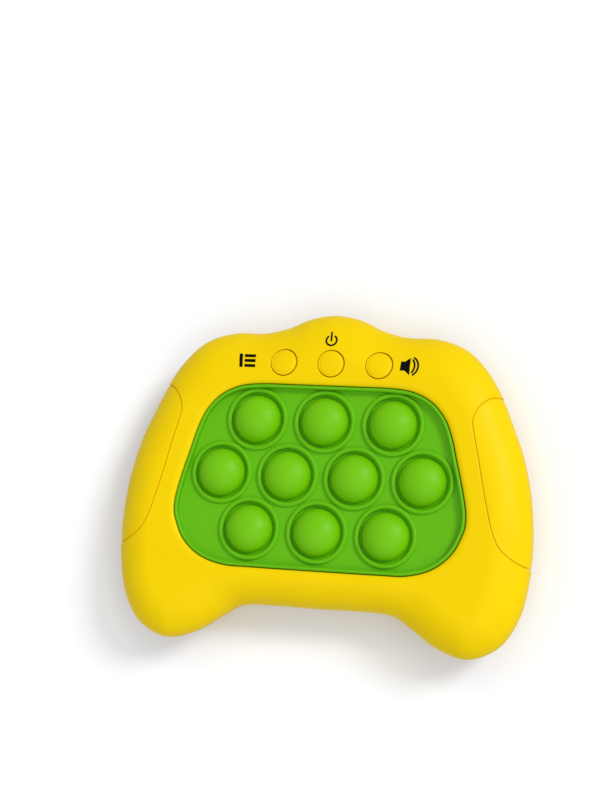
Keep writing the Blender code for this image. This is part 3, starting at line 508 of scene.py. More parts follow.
@dataclass
class CasingForm:
    """The casing's curves and heights, shared by all that lies on it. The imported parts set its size."""

    gap: float = 0.3 * mm
    wall: float = 2.4 * mm
    shoulder_width: float = 12.2 * mm
    top_shoulder_width: float = 15 * mm
    rear_corner_width: float = 11 * mm
    front_roundness: float = 1.73
    rear_roundness: float = 2.2
    window_edge_radius: float = 2 * mm
    flange_width: float = 1.8 * mm
    steps: int = 8
    seam_rear_steps: int = 8
    seam_front_steps: int = 12
    seam_top_turn: float = 72
    casing_shares: Profile = (
        (0, 1), (0.121, 0.975), (0.232, 0.914), (0.349, 0.878), (0.497, 0.873), (0.637, 0.815),
        (0.742, 0.692), (0.82, 0.536), (0.88, 0.369), (0.935, 0.195), (0.981, -0.045), (1, -0.299),
        (0.992, -0.516), (0.956, -0.739), (0.871, -0.917), (0.731, -1), (0.585, -0.95), (0.46, -0.848),
        (0.365, -0.78), (0.175, -0.768), (0, -0.771))
    window_shares: Profile = (
        (0, 1), (0.25, 1), (0.447, 0.997), (0.595, 0.966), (0.724, 0.866), (0.822, 0.691), (0.878, 0.477),
        (0.916, 0.252), (0.956, 0.017), (0.992, -0.238), (1, -0.372), (0.988, -0.503), (0.917, -0.738),
        (0.79, -0.909), (0.624, -0.99), (0.457, -0.998), (0.229, -1), (0, -1))
    panel_shares: Profile = (
        (1.12, 0.53), (0.84, 0.527), (0.788, 0.522), (0.754, 0.494), (0.723, 0.442), (0.709, 0.384),
        (0.713, 0.334), (0.744, 0.171), (0.78, -0.032), (0.804, -0.152), (0.829, -0.26), (0.862, -0.347),
        (0.902, -0.395), (0.944, -0.429), (1, -0.458), (1.12, -0.51))

    def __post_init__(self) -> None:
        """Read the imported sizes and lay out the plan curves."""
        low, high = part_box("front_shell")
        self.face = high.z
        self.parting = low.z - self.gap / 2
        self.half_width, self.half_length = high.x, high.y
        mat_low, mat_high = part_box("bubble_mat")
        self.window_half_width = mat_high.x - self.flange_width
        self.window_half_length = (mat_high.y - mat_low.y) / 2 - self.flange_width
        self.window_middle = Vector((0, (mat_high.y + mat_low.y) / 2))
        self.underside = self.face - self.wall
        self.outline = PlanCurve.mirrored(self.casing_shares, self.half_width, self.half_length, 0,
                                          self.steps)
        self.window = PlanCurve.mirrored(self.window_shares, self.window_half_width, self.window_half_length,
                                         self.window_middle.y, self.steps)
        self.front = Shoulder(self.front_roundness, self.face - self.parting)
        self.rear = Shoulder(self.rear_roundness, self.parting)
        self.widths = []
        for point, normal in zip(self.outline.points, self.outline.normals):
            upward = max(normal.y, 0) ** 2
            wanted = self.shoulder_width + (self.top_shoulder_width - self.shoulder_width) * upward
            room = self.window.nearest(point)[0] - self.window_edge_radius - self.gap
            self.widths.append(min(wanted, room))

    def front_ring(self, turn: float, depth: float = 0, base: float | None = None) -> Ring:
        """A ring on the front shell's shoulder. Its face stays at the same height for any base."""
        start = self.parting if base is None else base
        shoulder = Shoulder(self.front_roundness, self.face - start)
        ring = []
        for point, normal, width in zip(self.outline.points, self.outline.calm_normals, self.widths):
            inset, rise = shoulder.place(width, turn, depth)
            ring.append((point - normal * inset).to_3d() + Vector((0, 0, start + rise)))
        return ring

    def rear_ring(self, turn: float, depth: float = 0, base: float | None = None) -> Ring:
        """A ring on the rear shell's rounded side."""
        start = self.parting if base is None else base
        inset, rise = Shoulder(self.rear_roundness, start).place(self.rear_corner_width, turn, depth)
        return [(p - n * inset).to_3d() + Vector((0, 0, start - rise))
                for p, n in zip(self.outline.points, self.outline.calm_normals)]

    def inset_ring(self, inset: float, height: float) -> Ring:
        """A level ring at a distance in from the outline."""
        return flat([p - n * inset for p, n in zip(self.outline.points, self.outline.calm_normals)], height)

    def window_ring(self, outset: float, height: float) -> Ring:
        """The window's outline with one point facing each station of the casing's."""
        targets = [p.to_2d() for p in self.front_ring(90)]
        return flat(self.window.facing(targets, self.window_middle, outset), height)

    def height_at(self, place: Vector) -> float:
        """Height of the front surface over a place in plan."""
        inset, station = self.outline.nearest(place)
        first = int(station) % len(self.widths)
        share = station - int(station)
        width = self.widths[first] * (1 - share) + self.widths[(first + 1) % len(self.widths)] * share
        return self.parting + self.front.rise(inset, width)

    def seam(self, side: Side, margin: float) -> list[Vector]:
        """The open line of a grip panel's edge in plan, moved outward from the panel by a margin."""
        points = [Vector((x * self.half_width, y * self.half_length)) for x, y in self.panel_shares]
        line = PlanCurve.open_line(points, self.steps)
        normals = [-n for n in PlanCurve.normals_of(line)]
        return [Vector((side.value * (p.x + n.x * margin), p.y + n.y * margin))
                for p, n in zip(line, normals)]

    def rear_height_at(self, place: Vector) -> float:
        """Height of the rear surface over a place in plan."""
        inset, _ = self.outline.nearest(place)
        return self.parting - self.rear.rise(inset, self.rear_corner_width)

    def rear_turn_at(self, height: float) -> float:
        """The turn of the rear side at a height over the back face."""
        return self.rear.turn_at(self.parting - height)

    def groove_route(self, side: Side, bottom: float) -> Ring:
        """The closed line of a grip panel's seam on the casing's surface.

        Args:
            side: Which panel.
            bottom: Height of the panel's lower edge on the rear side.

        Returns:
            Points over the face, down both ends and back along the lower edge.
        """
        line = self.seam(side, self.gap / 2)
        middle = len(line) // 2
        ends = (line[:middle], list(reversed(line[middle:])))
        lowest = self.rear_turn_at(bottom)
        rises = []
        for end in ends:
            rings = [self.rear_ring(turn) for turn in spread(lowest, 0, self.seam_rear_steps)[:-1]]
            rings += [self.front_ring(turn) for turn in spread(0, self.seam_top_turn, self.seam_front_steps)]
            rises.append([crossing(end, ring) for ring in rings])
        first, last = rises[0][-1][0], rises[1][-1][0]
        over = line[first + 1:len(line) - 1 - last]
        route = [place for _, place in rises[0]]
        route += [Vector((p.x, p.y, self.height_at(p))) for p in over]
        route += [place for _, place in reversed(rises[1])]
        top, low = route[0].y, route[-1].y
        under = [p for p in self.rear_ring(lowest) if low < p.y < top and p.x * side.value > 0]
        return route + sorted(under, key=lambda p: p.y)


def crossing(line: Sequence[Vector], ring: Ring) -> tuple[int, Vector]:
    """Where an open plan line first crosses a ring.

    Args:
        line: The plan line.
        ring: The closed ring, level or nearly so.

    Returns:
        The number of the line's stretch, and the place with the ring's height.
    """
    for i, (start, end) in enumerate(zip(line, line[1:])):
        for a, b in zip(ring, ring[1:] + ring[:1]):
            place = intersect_line_line_2d(start, end, a.to_2d(), b.to_2d())
            if place:
                return i, Vector((place.x, place.y, (a.z + b.z) / 2))
    raise ValueError("the line doesn't cross the ring")


def circle(middle: Vector, radius: float, height: float | Callable[[Vector], float], sides: int) -> Ring:
    """A round ring in plan, level or at the height that a function gives for each point."""
    ring = []
    for i in range(sides):
        angle = -i * math.tau / sides
        spot = middle + Vector((math.cos(angle), math.sin(angle))) * radius
        ring.append(spot.to_3d() + Vector((0, 0, height(spot) if callable(height) else height)))
    return ring


def rounded_plate(low: Sequence[float], high: Sequence[float], corner: float, steps: int = 6) -> list[Vector]:
    """The plan outline of a plate with rounded corners, clockwise."""
    outline = []
    for x, y, start in ((high[0] - corner, high[1] - corner, 90), (high[0] - corner, low[1] + corner, 0),
                        (low[0] + corner, low[1] + corner, -90), (low[0] + corner, high[1] - corner, -180)):
        outline += [Vector(spot) for spot in arc((x, y), corner, start, start - 90, steps)]
    return outline


def plate_rings(low: Vector, high: Vector, corner: float, steps: Profile) -> list[Ring]:
    """Level rings of a rounded plate. Each step moves its outline outward and gives its height."""
    return [flat(rounded_plate((low.x - out, low.y - out), (high.x + out, high.y + out), corner + out),
                 height) for out, height in steps]


def band(line: Sequence[Vector], width: float, cap_steps: int = 4) -> list[Vector]:
    """The outline of a stroke along an open plan line, with round ends."""
    last = len(line) - 1
    ways = [(line[min(i + 1, last)] - line[max(i - 1, 0)]).normalized() for i in range(last + 1)]
    sides = [Vector((-way.y, way.x)) * (width / 2) for way in ways]
    outline = [p + side for p, side in zip(line, sides)]
    for turn in spread(0, 180, cap_steps)[1:-1]:
        angle = math.radians(turn)
        outline.append(line[-1] + sides[-1] * math.cos(angle) + ways[-1] * (width / 2 * math.sin(angle)))
    outline += [p - side for p, side in zip(reversed(line), reversed(sides))]
    for turn in spread(0, 180, cap_steps)[1:-1]:
        angle = math.radians(turn)
        outline.append(line[0] - sides[0] * math.cos(angle) - ways[0] * (width / 2 * math.sin(angle)))
    return outline


def spread(start: float, end: float, steps: int) -> list[float]:
    """Evenly spaced numbers from start to end."""
    return [start + (end - start) * i / steps for i in range(steps + 1)]


def arc(middle: tuple[float, float], radius: float, start: float, end: float,
        steps: int) -> list[tuple[float, float]]:
    """Points of a profile along an arc, by angle in degrees."""
    turns = [math.radians(turn) for turn in spread(start, end, steps)]
    return [(middle[0] + radius * math.cos(turn), middle[1] + radius * math.sin(turn)) for turn in turns]


def crown(radius: float, height: float, steps: int, start: float = 0,
          base: float = 0) -> list[tuple[float, float]]:
    """Points of a rounded top by radius and height over a base, from a turn in degrees out to its rim."""
    turns = [math.radians(turn) for turn in spread(start, 90, steps)]
    return [(radius * math.sin(turn), base + height * math.cos(turn)) for turn in turns]


# Finishes

class Signal:
    """A shader socket that takes Python's arithmetic. Each operation adds one Math node."""

    def __init__(self, desk: "NodeDesk", socket: bpy.types.NodeSocket) -> None:
        """Keep the socket and the desk that it belongs to."""
        self.desk, self.socket = desk, socket

    def _math(self, operation: str, first: "Signal | float", second: "Signal | float") -> "Signal":
        """Join two values by a Math node."""
        return self.desk.node("ShaderNodeMath", {"operation": operation}, {0: first, 1: second})["Value"]

    def __add__(self, other: "Signal | float") -> "Signal":
        """self + other"""
        return self._math('ADD', self, other)

    __radd__ = __add__

    def __sub__(self, other: "Signal | float") -> "Signal":
        """self - other"""
        return self._math('SUBTRACT', self, other)

    def __rsub__(self, other: "Signal | float") -> "Signal":
        """other - self"""
        return self._math('SUBTRACT', other, self)

    def __mul__(self, other: "Signal | float") -> "Signal":
        """self * other"""
        return self._math('MULTIPLY', self, other)

    __rmul__ = __mul__

    def __gt__(self, other: "Signal | float") -> "Signal":
        """One where self is the greater, or else zero."""
        return self._math('GREATER_THAN', self, other)


class Made:
    """A node whose outputs are read by name."""

    def __init__(self, desk: "NodeDesk", node: bpy.types.ShaderNode) -> None:
        """Keep the node and its desk."""
        self.desk, self.node = desk, node

    def __getitem__(self, key: str | int) -> Signal:
        """An output as a signal."""
        return Signal(self.desk, self.node.outputs[key])


class NodeDesk:
    """Lays out one material's nodes."""

    def __init__(self, name: str) -> None:
        """Start a material with its Principled shader and its place on the object."""
        self.material = bpy.data.materials.new(name)
        self.material.use_nodes = True
        self.tree = self.material.node_tree
        self.shader = self.tree.nodes["Principled BSDF"]
        self.place = self.node("ShaderNodeTexCoord")["Object"]

    def node(self, kind: str, settings: dict | None = None,
             sockets: dict | None = None) -> Made:
        """Add one node.

        Args:
            kind: The node's type.
            settings: What is set on the node itself, first.
            sockets: Values or signals for its inputs, by name or number.

        Returns:
            The node, whose outputs are read by name.
        """
        made = self.tree.nodes.new(kind)
        for key, value in (settings or {}).items():
            setattr(made, key, value)
        for key, value in (sockets or {}).items():
            self.feed(made.inputs[key], value)
        return Made(self, made)

    def feed(self, socket: bpy.types.NodeSocket, value: "Signal | float | Sequence[float]") -> None:
        """Link a signal to a socket, or set its value."""
        if isinstance(value, Signal):
            self.tree.links.new(value.socket, socket)
        else:
            socket.default_value = value

    def set(self, **values: "Signal | float | Sequence[float]") -> None:
        """Feed the shader's sockets. An underscore stands for a space."""
        for key, value in values.items():
            self.feed(self.shader.inputs[key.replace("_", " ")], value)

    def noise(self, size: float, detail: float = 2, place: Signal | None = None) -> Signal:
        """Noise whose features have a size, from zero to one."""
        return self.node("ShaderNodeTexNoise", None, {"Vector": place or self.place, "Scale": 1 / size,
                                                      "Detail": detail})["Fac"]

    def mixed(self, share: "Signal | float", first: "Signal | Sequence[float]",
              second: "Signal | Sequence[float]") -> Signal:
        """Mix two colours."""
        return self.node("ShaderNodeMix", {"data_type": 'RGBA'}, {0: share, 6: first, 7: second})[2]

    def tinted(self, share: "Signal | float", colour: Sequence[float], low: float, high: float) -> Signal:
        """Vary one colour between a lower and a higher brightness."""
        return self.mixed(share, shade(colour, low), shade(colour, high))

    def stepped(self, value: Signal, low: float, high: float, bottom: float = 0, top: float = 1) -> Signal:
        """Bring a value from one range to another, held at both ends."""
        return self.node("ShaderNodeMapRange", None, {0: value, 1: low, 2: high, 3: bottom, 4: top})[0]

    def bump(self, height: Signal, depth: float) -> Signal:
        """A normal from a height of zero to one, with its depth in metres."""
        return self.node("ShaderNodeBump", None,
                         {"Strength": 1, "Distance": depth, "Height": height})["Normal"]


class SkyDesk(NodeDesk):
    """Lays out the world's nodes."""

    def __init__(self, name: str) -> None:
        """Start a world with its background shader."""
        self.world = bpy.data.worlds.new(name)
        self.world.use_nodes = True
        self.tree = self.world.node_tree
        self.shader = self.tree.nodes["Background"]


def shade(colour: Sequence[float], factor: float) -> tuple[float, float, float, float]:
    """A colour made lighter or darker by a factor, with full alpha."""
    return (*(min(part * factor, 1) for part in colour[:3]), 1)


def from_screen(red: int, green: int, blue: int) -> tuple[float, float, float]:
    """The linear colour of one that shows as these values of 0 to 255."""
    parts = []
    for value in (red, green, blue):
        share = value / 255
        parts.append(share / 12.92 if share <= 0.04045 else ((share + 0.055) / 1.055) ** 2.4)
    return tuple(parts)


@dataclass(frozen=True)
class Moulded:
    """A moulded plastic or silicone: colour that drifts a little, a fine mould grain and uneven gloss."""

    name: str
    colour: tuple[float, float, float]
    roughness: float
    drift: float = 0.04
    drift_size: float = 18 * mm
    grain: float = 0.22 * mm
    grain_depth: float = 0.006 * mm
    gloss_change: float = 0.06
    shine: float = 0.08
    subsurface: float = 0.0
    metallic: float = 0.0

    def material(self) -> bpy.types.Material:
        """Lay out the finish's nodes."""
        desk = NodeDesk(self.name)
        cloud = desk.noise(self.drift_size, 3)
        colour = desk.tinted(cloud, self.colour, 1 - self.drift, 1 + self.drift)
        handled = desk.noise(self.drift_size / 3, 4)
        roughness = desk.stepped(handled, 0.3, 0.7, self.roughness - self.gloss_change / 2,
                                 self.roughness + self.gloss_change / 2)
        desk.set(Base_Color=colour, Roughness=roughness, Metallic=self.metallic,
                 Specular_IOR_Level=self.shine, Normal=desk.bump(desk.noise(self.grain, 2), self.grain_depth))
        if self.subsurface:
            desk.set(Subsurface_Weight=self.subsurface, Subsurface_Scale=mm, Subsurface_Radius=self.colour)
        return desk.material


@dataclass(frozen=True)
class Plated:
    """A plated or drawn metal with fine lines along one axis."""

    name: str
    colour: tuple[float, float, float]
    roughness: float = 0.32
    lines: tuple[float, float, float] = (1, 1, 8)

    def material(self) -> bpy.types.Material:
        """Lay out the finish's nodes."""
        desk = NodeDesk(self.name)
        drawn = desk.node("ShaderNodeMapping", None, {"Vector": desk.place, "Scale": self.lines})["Vector"]
        lines = desk.noise(0.4 * mm, 3, drawn)
        cloud = desk.noise(5 * mm, 3)
        roughness = desk.stepped(lines, 0.2, 0.8, self.roughness - 0.08, self.roughness + 0.1)
        desk.set(Base_Color=desk.tinted(cloud, self.colour, 0.85, 1.1), Metallic=1, Roughness=roughness,
                 Normal=desk.bump(lines, 0.004 * mm))
        return desk.material


@dataclass(frozen=True)
class Laminate:
    """A circuit board: green mask over straight copper tracks."""

    name: str
    colour: tuple[float, float, float]
    track_pitch: float = 2.4 * mm

    def material(self) -> bpy.types.Material:
        """Lay out the finish's nodes."""
        desk = NodeDesk(self.name)
        tracks = desk.node("ShaderNodeTexBrick", {"offset": 0.5}, {
            "Vector": desk.place, "Scale": 1, "Brick Width": 6 * self.track_pitch,
            "Row Height": self.track_pitch, "Mortar Size": self.track_pitch / 9, "Mortar Smooth": 0.2,
        })["Fac"]
        weave = desk.noise(0.5 * mm, 2)
        base = desk.tinted(weave, self.colour, 0.85, 1.1)
        desk.set(Base_Color=desk.mixed(tracks, base, shade(self.colour, 2.2)),
                 Roughness=desk.stepped(weave, 0.2, 0.8, 0.28, 0.42), Normal=desk.bump(tracks, 0.03 * mm))
        return desk.material


@dataclass(frozen=True)
class Pressed:
    """Pressed paper or sintered ferrite: a mottled, fibrous dull surface."""

    name: str
    colour: tuple[float, float, float]
    roughness: float = 0.85
    fibre: float = 0.5 * mm

    def material(self) -> bpy.types.Material:
        """Lay out the finish's nodes."""
        desk = NodeDesk(self.name)
        fibres = desk.noise(self.fibre, 6)
        desk.set(Base_Color=desk.tinted(fibres, self.colour, 0.6, 1.5),
                 Roughness=desk.stepped(fibres, 0.3, 0.7, self.roughness - 0.1, self.roughness + 0.1),
                 Normal=desk.bump(fibres, 0.03 * mm))
        return desk.material


@dataclass(frozen=True)
class Jacket:
    """A cell's printed metal jacket, with a plain band of a second colour at its positive end."""

    name: str
    colour: tuple[float, float, float]
    band: tuple[float, float, float]
    start: float
    way: int
    share: float = 0.3
    length: float = 43.7 * mm

    def material(self) -> bpy.types.Material:
        """Lay out the finish's nodes."""
        desk = NodeDesk(self.name)
        along = desk.node("ShaderNodeSeparateXYZ", None, {"Vector": desk.place})["X"]
        edge = self.start + self.way * self.length * (1 - self.share)
        soft = 0.1 * mm
        banded = desk.stepped((along - edge) * self.way, -soft, soft)
        worn = desk.noise(2 * mm, 4)
        plain = desk.tinted(worn, self.colour, 0.85, 1.15)
        bright = desk.tinted(worn, self.band, 0.9, 1.1)
        desk.set(Base_Color=desk.mixed(banded, plain, bright), Metallic=desk.stepped(banded, 0, 1, 0.5, 0.85),
                 Roughness=desk.stepped(worn, 0.3, 0.7, 0.24, 0.36), Coat_Weight=0.4, Coat_Roughness=0.15)
        return desk.material


Finish = Moulded | Plated | Laminate | Pressed | Jacket
YELLOW = Moulded("yellow_plastic", from_screen(254, 217, 0), 0.42)
KEY_YELLOW = Moulded("key_yellow", from_screen(254, 216, 0), 0.4)
MAT_GREEN = Moulded("mat_silicone", from_screen(104, 191, 4), 0.5, shine=0.2, grain=0.3 * mm, subsurface=0.03)
# The domes' green is lighter than the mat's: painted light, for light that shines through the thin domes
DOME_GREEN = Moulded("dome_silicone", from_screen(118, 202, 0), 0.46, shine=0.22, grain=0.3 * mm,
                     subsurface=0.06)
INK = Moulded("black_ink", from_screen(10, 11, 7), 0.5, drift=0.2, drift_size=2 * mm)
STEEL = Plated("zinc_steel", (0.62, 0.63, 0.65))
CAD_FINISHES = {
    "yellow_plastic": YELLOW,
    "green_silicone": MAT_GREEN,
    "bubble_silicone": DOME_GREEN,
    "board_laminate": Laminate("board_laminate", (0.012, 0.16, 0.045)),
    "led_white": Moulded("led_white", (0.85, 0.83, 0.7), 0.3, drift=0.05, drift_size=1.5 * mm),
    "black_plastic": Moulded("black_plastic", (0.018, 0.018, 0.02), 0.5, drift=0.3, drift_size=3 * mm),
    "white_plastic": Moulded("white_plastic", (0.78, 0.77, 0.73), 0.45, drift=0.03),
    "zinc_steel": STEEL,
    "ferrite": Pressed("ferrite", (0.035, 0.035, 0.04), 0.6, 0.3 * mm),
    "speaker_paper": Pressed("speaker_paper", (0.03, 0.03, 0.03)),
    "battery_jacket": Moulded("battery_jacket", (0.05, 0.06, 0.08), 0.3, drift=0.1, metallic=0.6),
    "red_lead": Moulded("red_lead", (0.45, 0.012, 0.012), 0.4, drift=0.1, drift_size=3 * mm),
    "black_lead": Moulded("black_lead", (0.012, 0.012, 0.014), 0.45, drift=0.3, drift_size=3 * mm),
}


class Wardrobe:
    """Makes each finish once and dresses pieces in it."""

    made: dict[str, bpy.types.Material] = {}

    @classmethod
    def get(cls, finish: Finish) -> bpy.types.Material:
        """The material of a finish."""
        if finish.name not in cls.made:
            cls.made[finish.name] = finish.material()
        return cls.made[finish.name]

    @classmethod
    def dress(cls, piece: Piece, finish: Finish, slot: str, body: str | None = CASING,
              replaces: Sequence[str] = (), crease: float = 30) -> Piece:
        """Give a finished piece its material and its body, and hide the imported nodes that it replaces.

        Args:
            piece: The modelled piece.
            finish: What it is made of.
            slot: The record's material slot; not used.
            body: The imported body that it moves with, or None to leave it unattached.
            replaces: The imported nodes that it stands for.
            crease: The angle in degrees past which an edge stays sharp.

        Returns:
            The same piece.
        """
        Bench.smooth(piece, crease)
        piece.data.materials.clear()
        piece.data.materials.append(cls.get(finish))
        if body:
            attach(piece, body)
        if replaces:
            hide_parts(*replaces)
        log.info("%s: %d faces on %s", piece.name, len(piece.data.polygons), body or "two bodies")
        return piece

    @classmethod
    def dress_packed(cls) -> None:
        """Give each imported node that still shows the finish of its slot."""
        for part in frame["record"]["subparts"]:
            node = frame["nodes"][part["node"]]
            node.material_slots[0].material = cls.get(CAD_FINISHES[part["material_slot"]])


# Casing

@dataclass
class Well:
    """The battery well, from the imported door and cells, with the seat that the door lies in."""

    gap: float = 0.3 * mm
    wall: float = 1.5 * mm
    ledge: float = 0.9 * mm
    ear: float = 7 * mm
    corner: float = 1.5 * mm
    tab_length: float = 1.8 * mm
    tab_width: float = 6 * mm
    tab_thickness: float = 1 * mm
    tab_spacing: float = 28 * mm
    slot_headroom: float = 1.3 * mm
    contact_tab_width: float = 2 * mm
    contact_thickness: float = 0.5 * mm
    screw_hole_radius: float = 1.3 * mm
    boss_radius: float = 2.8 * mm

    def __post_init__(self) -> None:
        """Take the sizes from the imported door, its screw and the cells."""
        low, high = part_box("battery_door")
        self.door_low = low
        self.door_high = Vector((high.x, high.y - self.tab_length, high.z))
        self.low = Vector((low.x + self.ledge, low.y + self.ear, 0))
        self.cells = [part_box(f"battery_{number}") for number in (1, 2, 3)]
        cell_low, cell_high = self.cells[0]
        self.axis = (cell_low.z + cell_high.z) / 2
        self.high = Vector((high.x - self.ledge, self.door_high.y - self.ledge, cell_high.z + self.gap))
        self.screw_place = plan_middle("battery_door_screw")
        self.screw_hole_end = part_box("battery_door_screw")[1].z + 2 * self.gap
        self.tab_places = (-self.tab_spacing / 2, self.tab_spacing / 2)

    def rows(self) -> list[float]:
        """The middle line of each cell."""
        return [(low.y + high.y) / 2 for low, high in self.cells]

    def walls(self, floor: float, post_top: float) -> Piece:
        """The well's walls and the post for the door's screw, solid until the openings are cut."""
        around = Vector((self.wall, self.wall, self.wall))
        low = Vector((self.low.x - self.wall, self.low.y - self.wall, floor))
        block = Bench.block("well_walls", low, self.high + around, corner=self.wall, edge=0.3 * mm)
        x, y = self.screw_place
        post = Bench.block("door_screw_post", (x - self.boss_radius, y - self.boss_radius, floor),
                           (x + self.boss_radius, self.low.y - self.wall / 2, post_top))
        Bench.combine(block, post, 'UNION')
        return block

    def opening(self, over: float) -> Piece:
        """The space for the cells, and the slots for the door's tabs and the contacts."""
        tool = Bench.block("well_opening", (self.low.x, self.low.y, -over), self.high)
        slots = []
        tab_half, contact_half = self.tab_width / 2 + self.gap, self.contact_tab_width / 2 + self.gap
        rise = self.contact_thickness / 2 + self.gap
        door_y, door_z = self.door_high.y, self.door_high.z
        for x in self.tab_places:
            slots.append(Bench.block(
                "tab_slot", (x - tab_half, self.high.y - over, door_z - self.tab_thickness - self.gap),
                (x + tab_half, door_y + self.tab_length + self.gap, door_z + self.slot_headroom)))
        for side, y in ((Side.LEFT, self.rows()[0]), (Side.RIGHT, self.rows()[2])):
            ends = sorted((side.value * (self.high.x - over), side.value * (self.high.x + self.wall + over)))
            slots.append(Bench.block("contact_slot", (ends[0], y - contact_half, self.axis - rise),
                                     (ends[1], y + contact_half, self.axis + rise)))
        Bench.combine(tool, Bench.join(slots), 'UNION')
        return tool

    def seat(self, over: float, edge: float) -> Piece:
        """The door's seat in the back face, with rounded corners and a soft brink."""
        gap, soft = self.gap, edge * BRINK_SHARE
        steps = ((gap + edge, -over), (gap + edge, 0), (gap + soft, soft), (gap, edge),
                 (gap, self.door_high.z + gap))
        rings = plate_rings(self.door_low, self.door_high, self.corner - gap, steps)
        return Bench.skin("door_seat", rings, Ends.CAPPED)


@dataclass
class Casing:
    """The two shells and the grip panels."""

    form: CasingForm
    well: Well
    edge: float = 0.25 * mm
    over: float = 1 * mm
    panel_thickness: float = 1.2 * mm
    panel_sink: float = 0.15 * mm
    seam_width: float = 0.14 * mm
    groove_radius: float = 0.42 * mm
    button_flange_width: float = 0.7 * mm
    boss_radius: float = 3 * mm
    post_radius: float = 3.5 * mm
    board_post_radius: float = 2 * mm
    board_post_share: tuple[float, float] = (0.66, 0.8)
    screw_clearance: float = 1.6 * mm
    head_clearance: float = 2.8 * mm
    screw_seat: float = 9.5 * mm
    screw_bite: float = 4.3 * mm
    lip_clearance: float = 0.95 * mm
    lip_thickness: float = 1.2 * mm
    lip_height: float = 1.4 * mm
    speaker_seat_wall: float = 1.2 * mm
    speaker_seat_height: float = 3.2 * mm
    grille_radius: float = 0.9 * mm
    grille_circles: Profile = ((3.4 * mm, 0), (6.8 * mm, 30))
    grille_holes: int = 6
    fine_sides: int = 48
    small_sides: int = 24
    shoulder_steps: int = 20
    inner_front_turns: Sequence[float] = (90, 70, 52, 36, 22, 10, 0)
    inner_rear_turns: Sequence[float] = (40, 55, 70, 90)

    def __post_init__(self) -> None:
        """Take the places of panels, buttons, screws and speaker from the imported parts."""
        self.panel_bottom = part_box("left_grip_panel")[0].z
        self.button_places = [plan_middle(f"{name}_button") for name in BUTTONS]
        self.button_radius = plan_radius("sound_button") - self.button_flange_width
        self.screw_places = [plan_middle(f"case_screw_{number}") for number in range(1, 7)]
        self.speaker_place = plan_middle("speaker_frame")
        self.speaker_radius = plan_radius("speaker_frame")
        self.board_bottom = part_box("main_board")[0].z

    def build(self) -> Piece:
        """Model the shells and panels, dress them and return the front cover."""
        recesses = {side: self.recess(side) for side in Side}
        grooves = {side: self.groove(side) for side in Side}
        front, rear = self.front_cover(), self.rear_cover()
        for side in Side:
            panel = self.panel(side)
            for piece in (front, rear):
                Bench.combine(piece, recesses[side], 'DIFFERENCE', keep=True)
            for piece in (front, rear, panel):
                Bench.combine(piece, grooves[side], 'DIFFERENCE', keep=True)
            name = side.name.lower()
            Wardrobe.dress(panel, YELLOW, "yellow_plastic", replaces=[f"{name}_grip_panel"])
        for tool in (*recesses.values(), *grooves.values()):
            bpy.data.objects.remove(tool)
        for place in self.button_places:
            Bench.combine(front, self.mouth(place, self.button_radius + self.form.gap), 'DIFFERENCE')
        front = Bench.join([front, self.front_bosses()])
        Wardrobe.dress(front, YELLOW, "yellow_plastic", replaces=["front_shell"])
        Wardrobe.dress(rear, YELLOW, "yellow_plastic", replaces=["rear_shell"])
        return front

    def front_cover(self) -> Piece:
        """The front shell: shoulder, face, rolled window edge and the hollow inside."""
        form, edge = self.form, self.edge
        base = form.parting + form.gap / 2
        start = Shoulder(form.front_roundness, form.face - base).turn_at(edge)
        soft = BRINK_SHARE * edge
        rings = [flat(form.outline.widened(-edge), base), flat(form.outline.widened(-soft), base + soft)]
        rings += [form.front_ring(turn, 0, base) for turn in spread(start, 90, self.shoulder_steps)]
        brink, mouth = rings[-1], form.window_ring(form.window_edge_radius, form.face)
        rings += [[a.lerp(b, share) for a, b in zip(brink, mouth)] for share in (0.25, 0.75)]
        for turn in spread(0, 90, 8):
            angle = math.radians(turn)
            rings.append(form.window_ring(form.window_edge_radius * (1 - math.sin(angle)),
                                          form.face - form.window_edge_radius * (1 - math.cos(angle)) / 2))
        rings.append(form.window_ring(0, form.underside))
        rings += [form.front_ring(turn, form.wall, base) for turn in self.inner_front_turns]
        return Bench.skin("front_cover", rings, Ends.JOINED)

    def front_bosses(self) -> Piece:
        """The six posts inside the front shell that the screws bite into."""
        form = self.form
        base = form.parting + form.gap / 2
        bosses = []
        for place in self.screw_places:
            inset, _ = form.outline.nearest(place)
            rise = form.front.rise(inset - self.boss_radius, form.shoulder_width)
            top = form.parting + rise - form.wall / 2
            end = form.parting + self.screw_bite
            profile = [(0, end), (self.screw_clearance, end), (self.screw_clearance, base),
                       (self.boss_radius, base), (self.boss_radius, top), (0, top)]
            bosses.append(Bench.turned("boss", profile, self.fine_sides, place.to_3d()))
        return Bench.join(bosses)

    def rear_cover(self) -> Piece:
        """The rear shell: its rounded side, flat back, locating lip, well, posts and openings."""
        form, edge = self.form, self.edge
        base = form.parting - form.gap / 2
        start = Shoulder(form.rear_roundness, base).turn_at(edge)
        outside = form.wall + self.lip_clearance
        inside = outside + self.lip_thickness
        lip_top = form.parting + self.lip_height
        rings = [form.inset_ring(form.rear_corner_width + self.over, 0)]
        rings += [form.rear_ring(turn, 0, base) for turn in spread(90, start, self.shoulder_steps)]
        soft = BRINK_SHARE * edge
        rings.append(flat(form.outline.widened(-soft), base - soft))
        for inset, height in ((edge, base), (outside, base), (outside, lip_top), (inside, lip_top),
                              (inside, base - self.lip_height)):
            rings.append(flat(form.outline.widened(-inset), height))
        rings += [form.rear_ring(turn, form.wall, base) for turn in self.inner_rear_turns]
        shell = Bench.skin("rear_cover", rings, Ends.CAPPED)
        Bench.combine(shell, self.rear_posts(), 'UNION')
        for tool in (self.well.opening(self.over), self.well.seat(self.over, edge), self.rear_bores()):
            Bench.combine(shell, tool, 'DIFFERENCE')
        return shell

